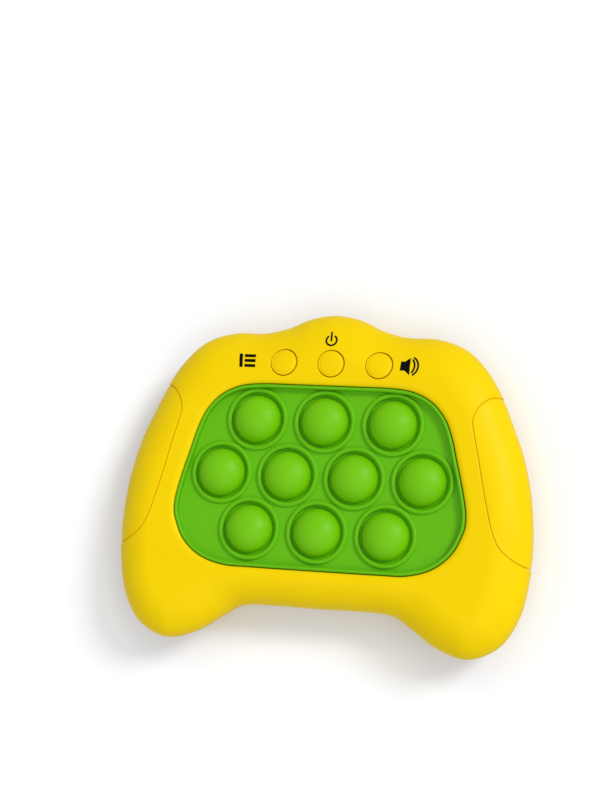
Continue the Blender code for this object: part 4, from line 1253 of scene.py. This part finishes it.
    def rear_posts(self) -> Piece:
        """The well's walls, the posts and the speaker's seat, each rising from the floor."""
        form, well = self.form, self.well
        floor = form.wall / 2
        post_top = well.screw_hole_end + form.wall
        pieces = [well.walls(floor, post_top)]
        for place in self.screw_places:
            inset, _ = form.outline.nearest(place)
            bottom = form.parting - form.rear.rise(inset - self.post_radius, form.rear_corner_width) + floor
            pieces.append(self.post(place, self.post_radius, bottom, form.parting - form.gap / 2))
        half_width = form.window_half_width * self.board_post_share[0]
        half_length = form.window_half_length * self.board_post_share[1]
        for x in (-half_width, half_width):
            for y in (-half_length, half_length):
                place = form.window_middle + Vector((x, y))
                pieces.append(self.post(place, self.board_post_radius, floor, self.board_bottom - form.gap))
        inner = self.speaker_radius + form.gap
        outer, top = inner + self.speaker_seat_wall, form.wall + self.speaker_seat_height
        ring = [(inner, floor), (outer, floor), (outer, top - self.edge), (outer - self.edge, top),
                (inner, top)]
        pieces.append(Bench.turned("speaker_seat", ring, self.fine_sides, self.speaker_place.to_3d()))
        return Bench.join(pieces)

    def post(self, place: Vector, radius: float, bottom: float, top: float) -> Piece:
        """A round post with a softened top."""
        profile = [(0, bottom), (radius, bottom), (radius, top - self.edge), (radius - self.edge, top),
                   (0, top)]
        return Bench.turned("post", profile, self.fine_sides, place.to_3d())

    def rear_bores(self) -> Piece:
        """The sunk screw holes, the door screw's hole and the speaker's grille."""
        form, edge = self.form, self.edge
        bores = []
        for place in self.screw_places:
            rings = self.soft_mouth(place, self.head_clearance, form.rear_height_at, -1)
            rings += [circle(place, radius, height, self.fine_sides) for radius, height in (
                (self.head_clearance, self.screw_seat), (self.screw_clearance, self.screw_seat),
                (self.screw_clearance, form.parting + self.over))]
            bores.append(Bench.skin("screw_bore", rings, Ends.CAPPED))
        radius, end = self.well.screw_hole_radius, self.well.screw_hole_end
        profile = [(0, self.over), (radius, self.over), (radius, end), (0, end)]
        bores.append(Bench.turned("door_screw_bore", profile, self.small_sides,
                                  self.well.screw_place.to_3d()))
        radius, end = self.grille_radius, form.wall + self.over
        profile = [(0, -self.over), (radius + edge, -self.over), (radius + edge, 0), (radius, edge),
                   (radius, end), (0, end)]
        hole = Bench.turned("grille_hole", profile, self.small_sides, self.speaker_place.to_3d())
        bores.append(hole)
        for reach, turn in self.grille_circles:
            for i in range(self.grille_holes):
                angle = math.radians(turn + 360 / self.grille_holes * i)
                shift = Vector((math.cos(angle), math.sin(angle), 0)) * reach
                bores.append(Bench.copy(hole, "grille_hole", shift))
        return Bench.join(bores)

    def layer(self, name: str, outer: float, inner: float) -> Piece:
        """A layer along the whole casing's surface between two depths."""
        form = self.form
        rings = []
        for depth, order in ((outer, 1), (inner, -1)):
            stack = [form.rear_ring(turn, depth) for turn in spread(90, 6, 12)]
            stack += [form.front_ring(turn, depth) for turn in spread(0, 90, 16)]
            stack.append(form.window_ring(form.window_edge_radius, form.face - depth))
            rings += stack[::order]
        return Bench.skin(name, rings, Ends.JOINED)

    def panel_block(self, side: Side, margin: float) -> Piece:
        """An upright block inside a grip panel's seam."""
        line = self.form.seam(side, margin)
        return Bench.prism("panel_block", line, self.panel_bottom - margin, self.form.face + self.over)

    def recess(self, side: Side) -> Piece:
        """The shape that a grip panel's seat takes out of both shells."""
        depth = self.panel_sink + self.panel_thickness + self.form.gap
        tool = self.layer(f"{side.name.lower()}_recess", -self.over, depth)
        Bench.combine(tool, self.panel_block(side, (self.form.gap + self.seam_width) / 2), 'INTERSECT')
        return tool

    def panel(self, side: Side) -> Piece:
        """A grip panel, a thin layer that follows the casing."""
        inner = self.panel_sink + self.panel_thickness
        piece = self.layer(f"{side.name.lower()}_grip", self.panel_sink, inner)
        Bench.combine(piece, self.panel_block(side, (self.form.gap - self.seam_width) / 2), 'INTERSECT')
        return piece

    def groove(self, side: Side) -> Piece:
        """A round bar along a panel's seam, which softens the edges on both sides of the gap."""
        route = self.form.groove_route(side, self.panel_bottom - self.form.gap / 2)
        return Bench.tube(f"{side.name.lower()}_groove", route, self.groove_radius, closed=True)

    def soft_mouth(self, place: Vector, radius: float, surface: Callable[[Vector], float],
                   up: int) -> list[Ring]:
        """The rings of a round cutter where it leaves the surface, from outside inward.

        Args:
            place: The hole's middle in plan.
            radius: The hole's radius.
            surface: Gives the surface's height over a place.
            up: 1 where outside is above the surface, or -1 below.

        Returns:
            Rings that open by a soft brink.
        """
        edge, soft = self.edge, BRINK_SHARE * self.edge
        steps = ((edge, 3 * self.over), (edge, 0.1 * edge), (soft, -soft), (0, -edge))
        return [circle(place, radius + outset, lambda spot, rise=rise: surface(spot) + up * rise,
                       self.fine_sides) for outset, rise in steps]

    def mouth(self, place: Vector, radius: float) -> Piece:
        """A round cutter for a button's hole, with a soft brink that follows the surface."""
        rings = self.soft_mouth(place, radius, self.form.height_at, 1)
        rings.append(circle(place, radius, self.form.parting + self.screw_bite, self.fine_sides))
        return Bench.skin("mouth", rings, Ends.CAPPED)


@dataclass
class Buttons:
    """The three push buttons, whose tops follow the casing and swell a little."""

    casing: Casing
    flange_thickness: float = 0.8 * mm
    crown: float = 0.26 * mm
    rim: float = 0.22 * mm
    rim_steps: int = 5
    top_shares: Sequence[float] = (0.9, 0.75, 0.55, 0.35, 0.15)
    sides: int = 64

    def build(self) -> None:
        """Model and dress each button."""
        for name, place in zip(BUTTONS, self.casing.button_places):
            node = f"{name}_button"
            button = self.button(f"{name}_key", place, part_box(node)[0].z)
            Wardrobe.dress(button, KEY_YELLOW, "yellow_plastic", node, [node], crease=40)

    def button(self, name: str, place: Vector, bottom: float) -> Piece:
        """One button from its flange up."""
        surface, radius, rim = self.casing.form.height_at, self.casing.button_radius, self.rim
        flange, top = radius + self.casing.button_flange_width, bottom + self.flange_thickness
        rings = [circle(place, reach, height, self.sides)
                 for reach, height in ((flange, bottom), (flange, top), (radius, top))]
        rounds = [1 - math.sin(math.radians(turn)) for turn in spread(90, 0, self.rim_steps)]
        steps = [(radius - rim * share, -rim * share) for share in rounds]
        steps += [((radius - rim) * share, 0) for share in self.top_shares]
        for reach, drop in steps:
            swell = self.crown * (1 - (reach / radius) ** 2) + drop
            rings.append(circle(place, reach, lambda spot, swell=swell: surface(spot) + swell, self.sides))
        return Bench.skin(name, rings, Ends.CAPPED)


@dataclass
class Symbols:
    """The black generic symbols beside the buttons, laid on the casing as thin ink.

    The drawn points, radii and stroke are in millimetres from each button's middle.
    """

    casing: Casing
    ink: float = 0.08 * mm
    corner: float = 0.12 * mm
    bars: Sequence[Profile] = (
        ((-15.46, 2.46), (-14.32, 2.5), (-13.76, -2.1), (-14.85, -2.13)),
        ((-13.63, 2.34), (-9.84, 2.36), (-9.8, 1.34), (-13.55, 1.32)),
        ((-13.44, 0.67), (-9.7, 0.72), (-9.66, -0.33), (-13.36, -0.35)),
        ((-13.28, -1.04), (-9.57, -1.04), (-9.53, -2.02), (-13.2, -2.02)))
    ring_middle: tuple[float, float] = (-0.59, 7.7)
    ring_radius: float = 1.73
    ring_turns: tuple[float, float] = (134, 416)
    switch_line: Profile = ((-0.62, 7.6), (-0.88, 10.44))
    stroke: float = 0.6
    horn: Profile = ((6.96, 1.67), (8.17, 1.58), (9.92, 2.97), (10.07, -2.85), (8.37, -1.42), (6.86, -1.43))
    waves: Sequence[tuple[tuple[float, float], float, float]] = (
        ((8.08, 0.19), 3.39, 38), ((9.16, 0.13), 3.47, 55))
    ring_steps: int = 28
    wave_steps: int = 14

    def build(self, cover: Piece) -> None:
        """Lay each symbol on the finished front cover."""
        menu, power, sound = self.casing.button_places
        shapes = {"menu_symbol": [self.block(self.placed(bar, menu), self.corner) for bar in self.bars]}
        ring = self.placed(arc(self.ring_middle, self.ring_radius, *self.ring_turns, self.ring_steps), power)
        shapes["power_symbol"] = [self.stroked(ring), self.stroked(self.placed(self.switch_line, power))]
        shapes["sound_symbol"] = [self.block(self.placed(self.horn, sound), self.corner)]
        for middle, radius, turn in self.waves:
            wave = self.placed(arc(middle, radius, turn, -turn, self.wave_steps), sound)
            shapes["sound_symbol"].append(self.stroked(wave))
        for name, blocks in shapes.items():
            mark = Bench.join(blocks)
            mark.name = name
            Bench.combine(mark, cover, 'INTERSECT', keep=True)
            with Bench.editing(mark):
                Bench.pick(mark, 'FACE', lambda f: f.normal.z < 0.3)
                bpy.ops.mesh.delete(type='FACE')
            Bench.tool(mark, 'SOLIDIFY', thickness=self.ink, offset=0)
            Wardrobe.dress(mark, INK, "yellow_plastic")

    @staticmethod
    def placed(points: Profile, middle: Vector) -> list[Vector]:
        """Points in millimetres from a button's middle, as places in plan."""
        return [middle + Vector(point) * mm for point in points]

    def stroked(self, line: Sequence[Vector]) -> Piece:
        """An upright block over a stroke."""
        return self.block(band(line, self.stroke * mm), 0)

    def block(self, outline: Sequence[Vector], corner: float) -> Piece:
        """An upright block that reaches from the casing's hollow to above its face."""
        form = self.casing.form
        return Bench.prism("ink_block", outline, form.parting + form.wall, form.face + form.wall, corner)


@dataclass
class Door:
    """The battery door: soft edges, two tabs, finger grooves and a sunk screw hole."""

    well: Well
    edge: float = 0.25 * mm
    corner: float = 1.2 * mm
    head_radius: float = 2.5 * mm
    head_seat: float = 1.55 * mm
    groove_radius: float = 0.9 * mm
    groove_depth: float = 0.35 * mm
    groove_pitch: float = 1.7 * mm
    groove_half_length: float = 7 * mm
    groove_reach: float = 13 * mm
    hole_sides: int = 40
    groove_sides: int = 24

    def build(self) -> None:
        """Model and dress the door."""
        well, over = self.well, self.edge * 4
        low, high = well.door_low, well.door_high
        soft = self.edge * BRINK_SHARE
        steps = ((-self.edge, low.z), (-soft, low.z + soft), (0, low.z + self.edge),
                 (0, high.z - self.edge / 2), (-self.edge / 2, high.z))
        door = Bench.skin("battery_cover", plate_rings(low, high, self.corner, steps), Ends.CAPPED)
        for x in well.tab_places:
            half = well.tab_width / 2
            tab = Bench.block("tab", (x - half, high.y - over, high.z - well.tab_thickness),
                              (x + half, high.y + well.tab_length, high.z), corner=self.edge)
            Bench.combine(door, tab, 'UNION')
        Bench.combine(door, self.screw_hole(), 'DIFFERENCE')
        Bench.combine(door, self.grooves(), 'DIFFERENCE')
        Wardrobe.dress(door, YELLOW, "yellow_plastic", "battery_door", ["battery_door"])

    def screw_hole(self) -> Piece:
        """The cutter of the screw's seat and hole."""
        edge, head, shank, seat = self.edge, self.head_radius, self.well.screw_hole_radius, self.head_seat
        soft = edge * BRINK_SHARE
        profile = [(0, -head), (head + edge, -head), (head + edge, 0), (head + soft, soft), (head, edge),
                   (head, seat), (shank, seat), (shank, head * 2), (0, head * 2)]
        return Bench.turned("screw_hole", profile, self.hole_sides, self.well.screw_place.to_3d())

    def grooves(self) -> Piece:
        """Round bars that press finger grooves into both sides of the door's screw end."""
        radius, half = self.groove_radius, self.groove_half_length
        ends = crown(radius, radius, 6)
        profile = [(r, half + x) for r, x in ends] + [(r, -half - x) for r, x in reversed(ends)]
        height = self.groove_depth - radius
        bars = []
        for side in Side:
            for number in range(3):
                y = self.well.screw_place.y - self.groove_pitch * (number - 1)
                middle = (side.value * self.groove_reach, y, height)
                bars.append(Bench.turned("groove", profile, self.groove_sides, middle, Axis.X))
        return Bench.join(bars)


@dataclass
class Screws:
    """Pan-head screws with a cross recess and a rolled thread."""

    sides: int = 32
    pitch: float = 0.75 * mm
    thread_share: float = 0.78
    thread_shares: tuple[float, float, float] = (0.3, 0.45, 0.9)
    crown_share: float = 0.55
    crown_start: float = 20
    brim_share: float = 0.1
    brim_radius_share: float = 0.96
    tip_share: float = 1.2
    point_share: float = 0.35
    point_drop_share: float = 0.2
    arm_share: float = 0.6
    arm_width_share: float = 0.22
    arm_depth_share: float = 0.65
    case_head: float = 1.7 * mm
    case_shank: float = 1.3 * mm
    door_head: float = 1 * mm
    door_shank: float = 1 * mm

    def build(self) -> None:
        """Model one casing screw and copy it, and then the door's screw."""
        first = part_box("case_screw_1")[0]
        original = self.screw("casing_screw_1", "case_screw_1", self.case_head, self.case_shank)
        screws = [original]
        for number in range(2, 7):
            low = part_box(f"case_screw_{number}")[0]
            screws.append(Bench.copy(original, f"casing_screw_{number}", low - first))
        for number, piece in enumerate(screws, 1):
            Wardrobe.dress(piece, STEEL, "zinc_steel", replaces=[f"case_screw_{number}"], crease=35)
        piece = self.screw("cover_screw", "battery_door_screw", self.door_head, self.door_shank)
        Wardrobe.dress(piece, STEEL, "zinc_steel", "battery_door", ["battery_door_screw"], crease=35)

    def screw(self, name: str, node: str, head_height: float, shank: float) -> Piece:
        """One screw with its head down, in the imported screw's place."""
        low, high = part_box(node)
        middle, head = (low + high) / 2, plan_radius(node)
        top, bulge = low.z + head_height, head_height * self.crown_share
        profile = [(0, low.z), *crown(head, -bulge, 6, self.crown_start, low.z + bulge),
                   (head, top - head_height * self.brim_share), (head * self.brim_radius_share, top),
                   (shank, top), (shank, top + self.pitch)]
        start, end = top + self.pitch, high.z - shank * self.tip_share
        count = int((end - start) / self.pitch)
        root, (fall, dwell, crest) = shank * self.thread_share, self.thread_shares
        for i in range(count):
            base = start + i * self.pitch
            profile += [(root, base + self.pitch * fall), (root, base + self.pitch * dwell),
                        (shank, base + self.pitch * crest)]
        profile += [(root, end + self.pitch * fall),
                    (root * self.point_share, high.z - shank * self.point_drop_share), (0, high.z)]
        piece = Bench.turned(name, profile, self.sides, (middle.x, middle.y, 0))
        arm, half = head * self.arm_share, head * self.arm_width_share / 2
        corners = [(half, arm), (half, half), (arm, half), (arm, -half), (half, -half), (half, -arm),
                   (-half, -arm), (-half, -half), (-arm, -half), (-arm, half), (-half, half), (-half, arm)]
        cross = [Vector((middle.x + x, middle.y + y)) for x, y in corners]
        tool = Bench.prism("cross", cross, low.z - head_height, low.z + head_height * self.arm_depth_share)
        Bench.combine(piece, tool, 'DIFFERENCE')
        return piece


@dataclass
class Cells:
    """The three cells, each a jacket crimped over its bright ends. Their profiles are in millimetres."""

    well: Well
    sides: int = 48
    colour: tuple[float, float, float] = (0.02, 0.024, 0.03)
    bright: tuple[float, float, float] = (0.55, 0.27, 0.1)
    jacket: Profile = (
        (0, 0.3), (4.62, 0.3), (4.7, 0.08), (4.95, 0), (5.18, 0.1), (5.25, 0.35), (5.25, 43.35),
        (5.18, 43.6), (4.95, 43.7), (4.7, 43.62), (4.62, 43.4), (0, 43.4))
    negative_end: Profile = ((0, 0.12), (4.5, 0.12), (4.55, 0.2), (4.55, 0.5), (0, 0.5))
    positive_end: Profile = ((0, 43.3), (4.55, 43.3), (4.55, 43.5), (4.4, 43.55), (2.4, 43.55), (1.95, 43.62),
                             (1.9, 43.8), (1.9, 44.35), (1.75, 44.5), (0, 44.5))

    def build(self) -> None:
        """Model and dress each cell. Its positive end points to the side that its row has."""
        for number, (low, high) in enumerate(self.well.cells, 1):
            way = 1 if number != 2 else -1
            start = low.x if way > 0 else high.x
            middle = (start, (low.y + high.y) / 2, self.well.axis)
            ends = Bench.join([self.turned(f"cell_{number}_ends", self.negative_end, middle, way),
                               self.turned("cell_end", self.positive_end, middle, way)])
            jacket = self.turned(f"cell_{number}_jacket", self.jacket, middle, way)
            name = "cell_jacket" if way > 0 else "cell_jacket_turned"
            finish = Jacket(name, self.colour, self.bright, start, way)
            Wardrobe.dress(jacket, finish, "battery_jacket", replaces=[f"battery_{number}"])
            Wardrobe.dress(ends, STEEL, "zinc_steel", replaces=[f"battery_{number}"])

    def turned(self, name: str, profile: Profile, middle: Sequence[float], way: int) -> Piece:
        """A profile in millimetres, turned about the cell's axis."""
        return Bench.turned(name, [(radius * mm, way * height * mm) for radius, height in profile],
                            self.sides, middle, Axis.X)


@dataclass
class Contacts:
    """Sprung and flat contacts of the battery well."""

    well: Well
    corner: float = 1.2 * mm
    edge: float = 0.12 * mm
    spring_length: float = 4 * mm
    spring_radii: tuple[float, float] = (3.4 * mm, 2 * mm)
    wire: float = 0.35 * mm
    turns: float = 3.5
    coil_steps: int = 110
    rise_start_share: float = 0.14
    rise_length_share: float = 0.72
    dimple_radius: float = 1.8 * mm
    dimple_height: float = 0.2 * mm
    dimple_sides: int = 24

    def build(self) -> None:
        """Model and dress each contact."""
        top, middle, low = self.well.rows()
        for node, side, springs, flats, tab in (
                ("negative_terminal_spring", Side.LEFT, [top], [], top),
                ("positive_terminal", Side.RIGHT, [], [low], low),
                ("bridge_contact_right", Side.RIGHT, [middle], [top], None),
                ("bridge_contact_left", Side.LEFT, [low], [middle], None)):
            face = side.value * (self.well.high.x - self.well.gap - self.well.contact_thickness)
            pieces = [self.plate(node, side, tab)]
            pieces += [self.spring(side, face, y) for y in springs]
            pieces += [self.dimple(side, face, y) for y in flats]
            piece = Bench.join(pieces)
            piece.name = f"{node}_fine"
            Wardrobe.dress(piece, STEEL, "zinc_steel", replaces=[node])

    def plate(self, node: str, side: Side, tab: float | None) -> Piece:
        """The contact's plate, from its packed box, with the tab that leaves the well."""
        low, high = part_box(node)
        thick, reach = self.well.contact_thickness, self.well.high.x - self.well.gap
        ends = sorted((side.value * (reach - thick), side.value * reach))
        plate = Bench.block(node, (ends[0], low.y, low.z), (ends[1], high.y, high.z), self.corner,
                            self.edge, Axis.X)
        if tab is not None:
            half = self.well.contact_tab_width / 2
            far = high.x if side is Side.RIGHT else low.x
            ends = sorted((side.value * (reach - thick / 2), far))
            tongue = Bench.block("tongue", (ends[0], tab - half, self.well.axis - thick / 2),
                                 (ends[1], tab + half, self.well.axis + thick / 2),
                                 edge=self.edge, axis=Axis.X)
            plate = Bench.join([plate, tongue])
        return plate

    def spring(self, side: Side, face: float, y: float) -> Piece:
        """A tapering coil from the plate toward the cell."""
        route = []
        wide, narrow = self.spring_radii
        for share in spread(0, 1, self.coil_steps):
            rise = min(max((share - self.rise_start_share) / self.rise_length_share, 0), 1)
            angle = share * self.turns * math.tau
            radius = wide + (narrow - wide) * share - self.wire
            along = self.wire + (self.spring_length - 2 * self.wire) * rise
            route.append(Vector((face - side.value * along, y + radius * math.cos(angle),
                                 self.well.axis + radius * math.sin(angle))))
        return Bench.tube("coil", route, self.wire, closed=False, roundness=3)

    def dimple(self, side: Side, face: float, y: float) -> Piece:
        """A pressed dimple where the plate meets a cell's cap."""
        radius, height = self.dimple_radius, self.dimple_height
        profile = crown(radius, -side.value * height, 6)
        profile += [(radius, side.value * height / 2), (0, side.value * height / 2)]
        return Bench.turned("dimple", profile, self.dimple_sides, (face, y, self.well.axis), Axis.X)


# Mat and bubbles

@dataclass
class BubbleField:
    """The silicone mat and its ten bubbles, each held by a thin web."""

    form: CasingForm
    ridge_outer: float = 10.25 * mm
    ridge_width: float = 1.6 * mm
    ridge_height: float = 1.15 * mm
    foot: float = 0.1 * mm
    over: float = 2 * mm
    dome_wall: float = 1.2 * mm
    skirt: float = 1.2 * mm
    flare: float = 0.22 * mm
    plunger_radius: float = 2 * mm
    web_start: float = 0.55 * mm
    web_end: float = 0.95 * mm
    web_thickness: float = 0.22 * mm
    sides: int = 64
    mat_thickness: float = 1.4 * mm
    lip_width: float = 1.1 * mm
    lip_foot: float = 0.45 * mm

    def __post_init__(self) -> None:
        """Take the floor's height and the bubbles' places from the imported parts."""
        low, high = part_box("bubble_mat")
        self.bottom, self.lip_top = low.z, high.z
        self.floor = self.bottom + self.mat_thickness
        self.hole_radius = self.ridge_outer - self.ridge_width
        self.places = [plan_middle(f"bubble_{number}") for number in range(1, 11)]
        low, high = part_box("bubble_10")
        self.dome_foot, self.dome_top = low.z, high.z
        self.dome_radius = plan_radius("bubble_10")
        self.dome_height = self.dome_top - self.floor

    def build(self) -> None:
        """Model the mat, and each bubble with its web."""
        Wardrobe.dress(self.mat(), MAT_GREEN, "green_silicone", replaces=["bubble_mat"], crease=50)
        first = self.places[0]
        pairs = [(self.bubble("dome_1", first), self.web("web_1", first))]
        for number, place in enumerate(self.places[1:], 2):
            shift = (place - first).to_3d()
            pairs.append((Bench.copy(pairs[0][0], f"dome_{number}", shift),
                          Bench.copy(pairs[0][1], f"web_{number}", shift)))
        for number, (place, (bubble, web)) in enumerate(zip(self.places, pairs), 1):
            body = f"bubble_{number}"
            Wardrobe.dress(bubble, DOME_GREEN, "bubble_silicone", body, [body], crease=40)
            Wardrobe.dress(web, MAT_GREEN, "green_silicone", None, crease=60)
            place.to_3d() + Vector((0, 0, self.floor - self.web_start))
            place.to_3d() + Vector((0, 0, self.floor - self.web_end))
            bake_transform(web)

    def mat(self) -> Piece:
        """The sheet with its lip, and a raised ring with a hole for each bubble."""
        sheet = self.sheet()
        ridges = [Bench.turned("ridge", self.ridge_profile(), self.sides, p.to_3d()) for p in self.places]
        Bench.combine(sheet, Bench.join(ridges), 'UNION')
        low, high = self.bottom - self.over, self.floor + self.over
        hole = [(0, low), (self.hole_radius, low), (self.hole_radius, high), (0, high)]
        holes = [Bench.turned("hole", hole, self.sides, p.to_3d()) for p in self.places]
        Bench.combine(sheet, Bench.join(holes), 'DIFFERENCE')
        return sheet

    def sheet(self) -> Piece:
        """The mat before its rings: a flange under the front shell, a round lip and a flat floor."""
        form = self.form
        rim, wall = self.lip_width / 2, -form.gap
        edge = [(form.flange_width, self.bottom), (form.flange_width, form.underside - form.gap),
                (wall, form.underside - form.gap)]
        edge += arc((wall - rim, self.lip_top - rim), rim, 0, 180, 12)
        edge += arc((wall - self.lip_width - self.lip_foot, self.floor + self.lip_foot), self.lip_foot,
                    0, -90, 6)
        rings = [flat(form.window.widened(out), height) for out, height in edge]
        return Bench.skin("mat", rings, Ends.CAPPED)

    def ridge_profile(self) -> list[tuple[float, float]]:
        """Section of the raised ring round a bubble: a flared foot and a half-round crest."""
        half = self.ridge_width / 2
        middle = self.ridge_outer - half
        spring = self.floor + self.ridge_height - half
        outer = self.ridge_outer + self.foot
        inside = self.hole_radius - self.foot
        profile = [(inside, self.floor - self.foot), (outer, self.floor - self.foot)]
        profile += arc((outer, self.floor + self.foot), self.foot, -90 - 5, -180, 4)
        profile += arc((middle, spring), half, 0, 160, 12)
        profile.append((inside, spring))
        return profile

    def bubble(self, name: str, place: Vector) -> Piece:
        """A hollow dome with a flared foot, and the plunger that comes down from its top."""
        radius, height, soft = self.dome_radius, self.dome_height, self.flare
        outer = crown(radius, height, 20, base=self.floor)
        inner = crown(radius - self.dome_wall, height - self.dome_wall, 14, base=self.floor)
        low = self.floor - self.skirt
        profile = [(0, self.dome_top)] + outer[1:]
        profile += arc((radius + soft, self.floor - self.web_end + soft), soft, 180, 270, 5)
        profile += [(radius + soft, low), (radius - self.dome_wall, low)]
        profile += [(r, z) for r, z in reversed(inner) if r > self.plunger_radius]
        last = profile[-1][1]
        stem, foot = self.plunger_radius, self.dome_foot
        profile += [(stem, last + soft / 2), (stem, foot + soft), (stem - soft, foot), (0, foot)]
        return Bench.turned(name, profile, self.sides, place.to_3d())

    def web(self, name: str, place: Vector) -> Piece:
        """The thin ring that slopes from the mat's hole down to the bubble's foot."""
        outer, inner = self.hole_radius + self.foot, self.dome_radius - self.foot
        top, thick = [], self.web_thickness
        for share in spread(0, 1, 10):
            sag = share * share * (3 - 2 * share)
            top.append((outer + (inner - outer) * share,
                        self.floor - self.web_start - (self.web_end - self.web_start) * sag))
        under = [(radius, height - thick) for radius, height in reversed(top)]
        return Bench.turned(name, top + under, self.sides, place.to_3d())


# Studio

@dataclass
class Studio:
    """White floor, lights and the camera that the photo was matched with."""

    camera_place: Vector = field(default_factory=lambda: Vector((149.85, -51.97, 590.13)) * mm)
    camera_right: Vector = field(default_factory=lambda: Vector((0.96262, 0.07608, -0.25996)))
    camera_up: Vector = field(default_factory=lambda: Vector((-0.03852, 0.98844, 0.14667)))
    lens: float = 83.84
    sky: float = 0.5
    key_power: float = 1.4
    key_spread: float = 18
    key_direction: Vector = field(default_factory=lambda: Vector((0.66, 0.4, 0.64)))
    fill_power: float = 0.6
    fill_spread: float = 60
    fill_direction: Vector = field(default_factory=lambda: Vector((0.25, -0.4, 0.88)))
    floor_lift: float = 0.12
    floor_drop: float = 0.25 * mm
    # The floor's painted shadow: how far it reaches from the object, and its darkest colour
    contact_reach: float = 16 * mm
    contact_shade: tuple[float, float, float, float] = (0.5, 0.53, 0.74, 1)
    floor_white: tuple[float, float, float, float] = (0.95, 0.96, 1, 1)

    def build(self) -> None:
        """Set up the camera, the lights, the floor and the surroundings."""
        self.camera()
        self.lamp("soft_key", self.key_direction, self.key_power, self.key_spread)
        self.lamp("soft_fill", self.fill_direction, self.fill_power, self.fill_spread)
        self.floor()
        self.surroundings()
        bpy.context.scene.view_settings.view_transform = 'Standard'

    def camera(self) -> None:
        """Add the camera where the photo was taken from."""
        back = self.camera_right.cross(self.camera_up).normalized()
        up = back.cross(self.camera_right).normalized()
        turn = Matrix((self.camera_right.normalized(), up, back)).transposed()
        Bench.clear()
        bpy.ops.object.camera_add(location=self.camera_place, rotation=turn.to_euler())
        camera = bpy.context.object
        camera.name = "camera"
        camera.data.lens = self.lens
        camera.data.clip_start = 10 * mm
        bpy.context.scene.camera = camera

    @staticmethod
    def lamp(name: str, direction: Vector, power: float, spread_angle: float) -> None:
        """Add a wide, soft light.

        Args:
            name: The lamp's name.
            direction: The way toward the light.
            power: Its strength in watts per square metre.
            spread_angle: How wide it looks, in degrees.
        """
        Bench.clear()
        turn = direction.to_track_quat('Z', 'Y').to_euler()
        bpy.ops.object.light_add(type='SUN', location=direction, rotation=turn)
        lamp = bpy.context.object
        lamp.name = name
        lamp.data.energy = power
        lamp.data.angle = math.radians(spread_angle)

    def floor(self) -> None:
        """A white floor that takes the object's shadow from the lamps, and a painted shadow that darkens it
        near the object. Its underside lets the light through.
        """
        Bench.clear()
        bpy.ops.mesh.primitive_plane_add(size=8, location=(0, 0, -self.floor_drop))
        bpy.ops.object.transform_apply(location=True, rotation=True, scale=True)
        sheet = bpy.context.object
        sheet.name = "floor"
        desk = NodeDesk("floor_white")
        seen = self.seen(desk)
        # Painted shadow: the floor's colour darkens toward contact_shade where the object hides the way
        # toward the key light
        toward = desk.node("ShaderNodeCombineXYZ", None, dict(enumerate(self.key_direction)))["Vector"]
        near = desk.node("ShaderNodeAmbientOcclusion", {"samples": 8},
                         {"Distance": self.contact_reach, "Normal": toward})["AO"]
        desk.set(Base_Color=desk.mixed(near, self.contact_shade, self.floor_white), Roughness=0.9,
                 Emission_Strength=self.floor_lift, Specular_IOR_Level=0,
                 Emission_Color=desk.mixed(seen, (0, 0, 0, 1), (1, 1, 1, 1)))
        clear = desk.node("ShaderNodeBsdfTransparent")["BSDF"]
        below = desk.node("ShaderNodeNewGeometry")["Backfacing"]
        lit = Signal(desk, desk.shader.outputs[0])
        cover = desk.node("ShaderNodeMixShader", None, {0: below, 1: lit, 2: clear})
        desk.feed(desk.tree.nodes["Material Output"].inputs["Surface"], cover["Shader"])
        sheet.data.materials.append(desk.material)
        sheet.visible_diffuse = sheet.visible_shadow = False

    @staticmethod
    def seen(desk: NodeDesk) -> Signal:
        """One for rays from the camera and for those that gloss and glass send out."""
        path = desk.node("ShaderNodeLightPath")
        total = path["Is Camera Ray"] + path["Is Glossy Ray"] + path["Is Transmission Ray"]
        return total > 0.5

    def surroundings(self) -> None:
        """A plain even sky, which the camera sees as white."""
        desk = SkyDesk("surroundings")
        bpy.context.scene.world = desk.world
        seen = desk.node("ShaderNodeLightPath")["Is Camera Ray"]
        strength = desk.node("ShaderNodeMix", None, {"Factor": seen, "A": self.sky, "B": 1})["Result"]
        desk.set(Color=(1, 1, 1, 1), Strength=strength)


def main() -> None:
    """Build the object, then its studio."""
    logging.basicConfig(level=logging.INFO, format="%(message)s")
    form = CasingForm()
    casing = Casing(form, Well())
    cover = casing.build()
    Symbols(casing).build(cover)
    Buttons(casing).build()
    BubbleField(form).build()
    Door(casing.well).build()
    Screws().build()
    Cells(casing.well).build()
    Contacts(casing.well).build()
    Wardrobe.dress_packed()
    Studio().build()


if __name__ == "__main__":
    main()
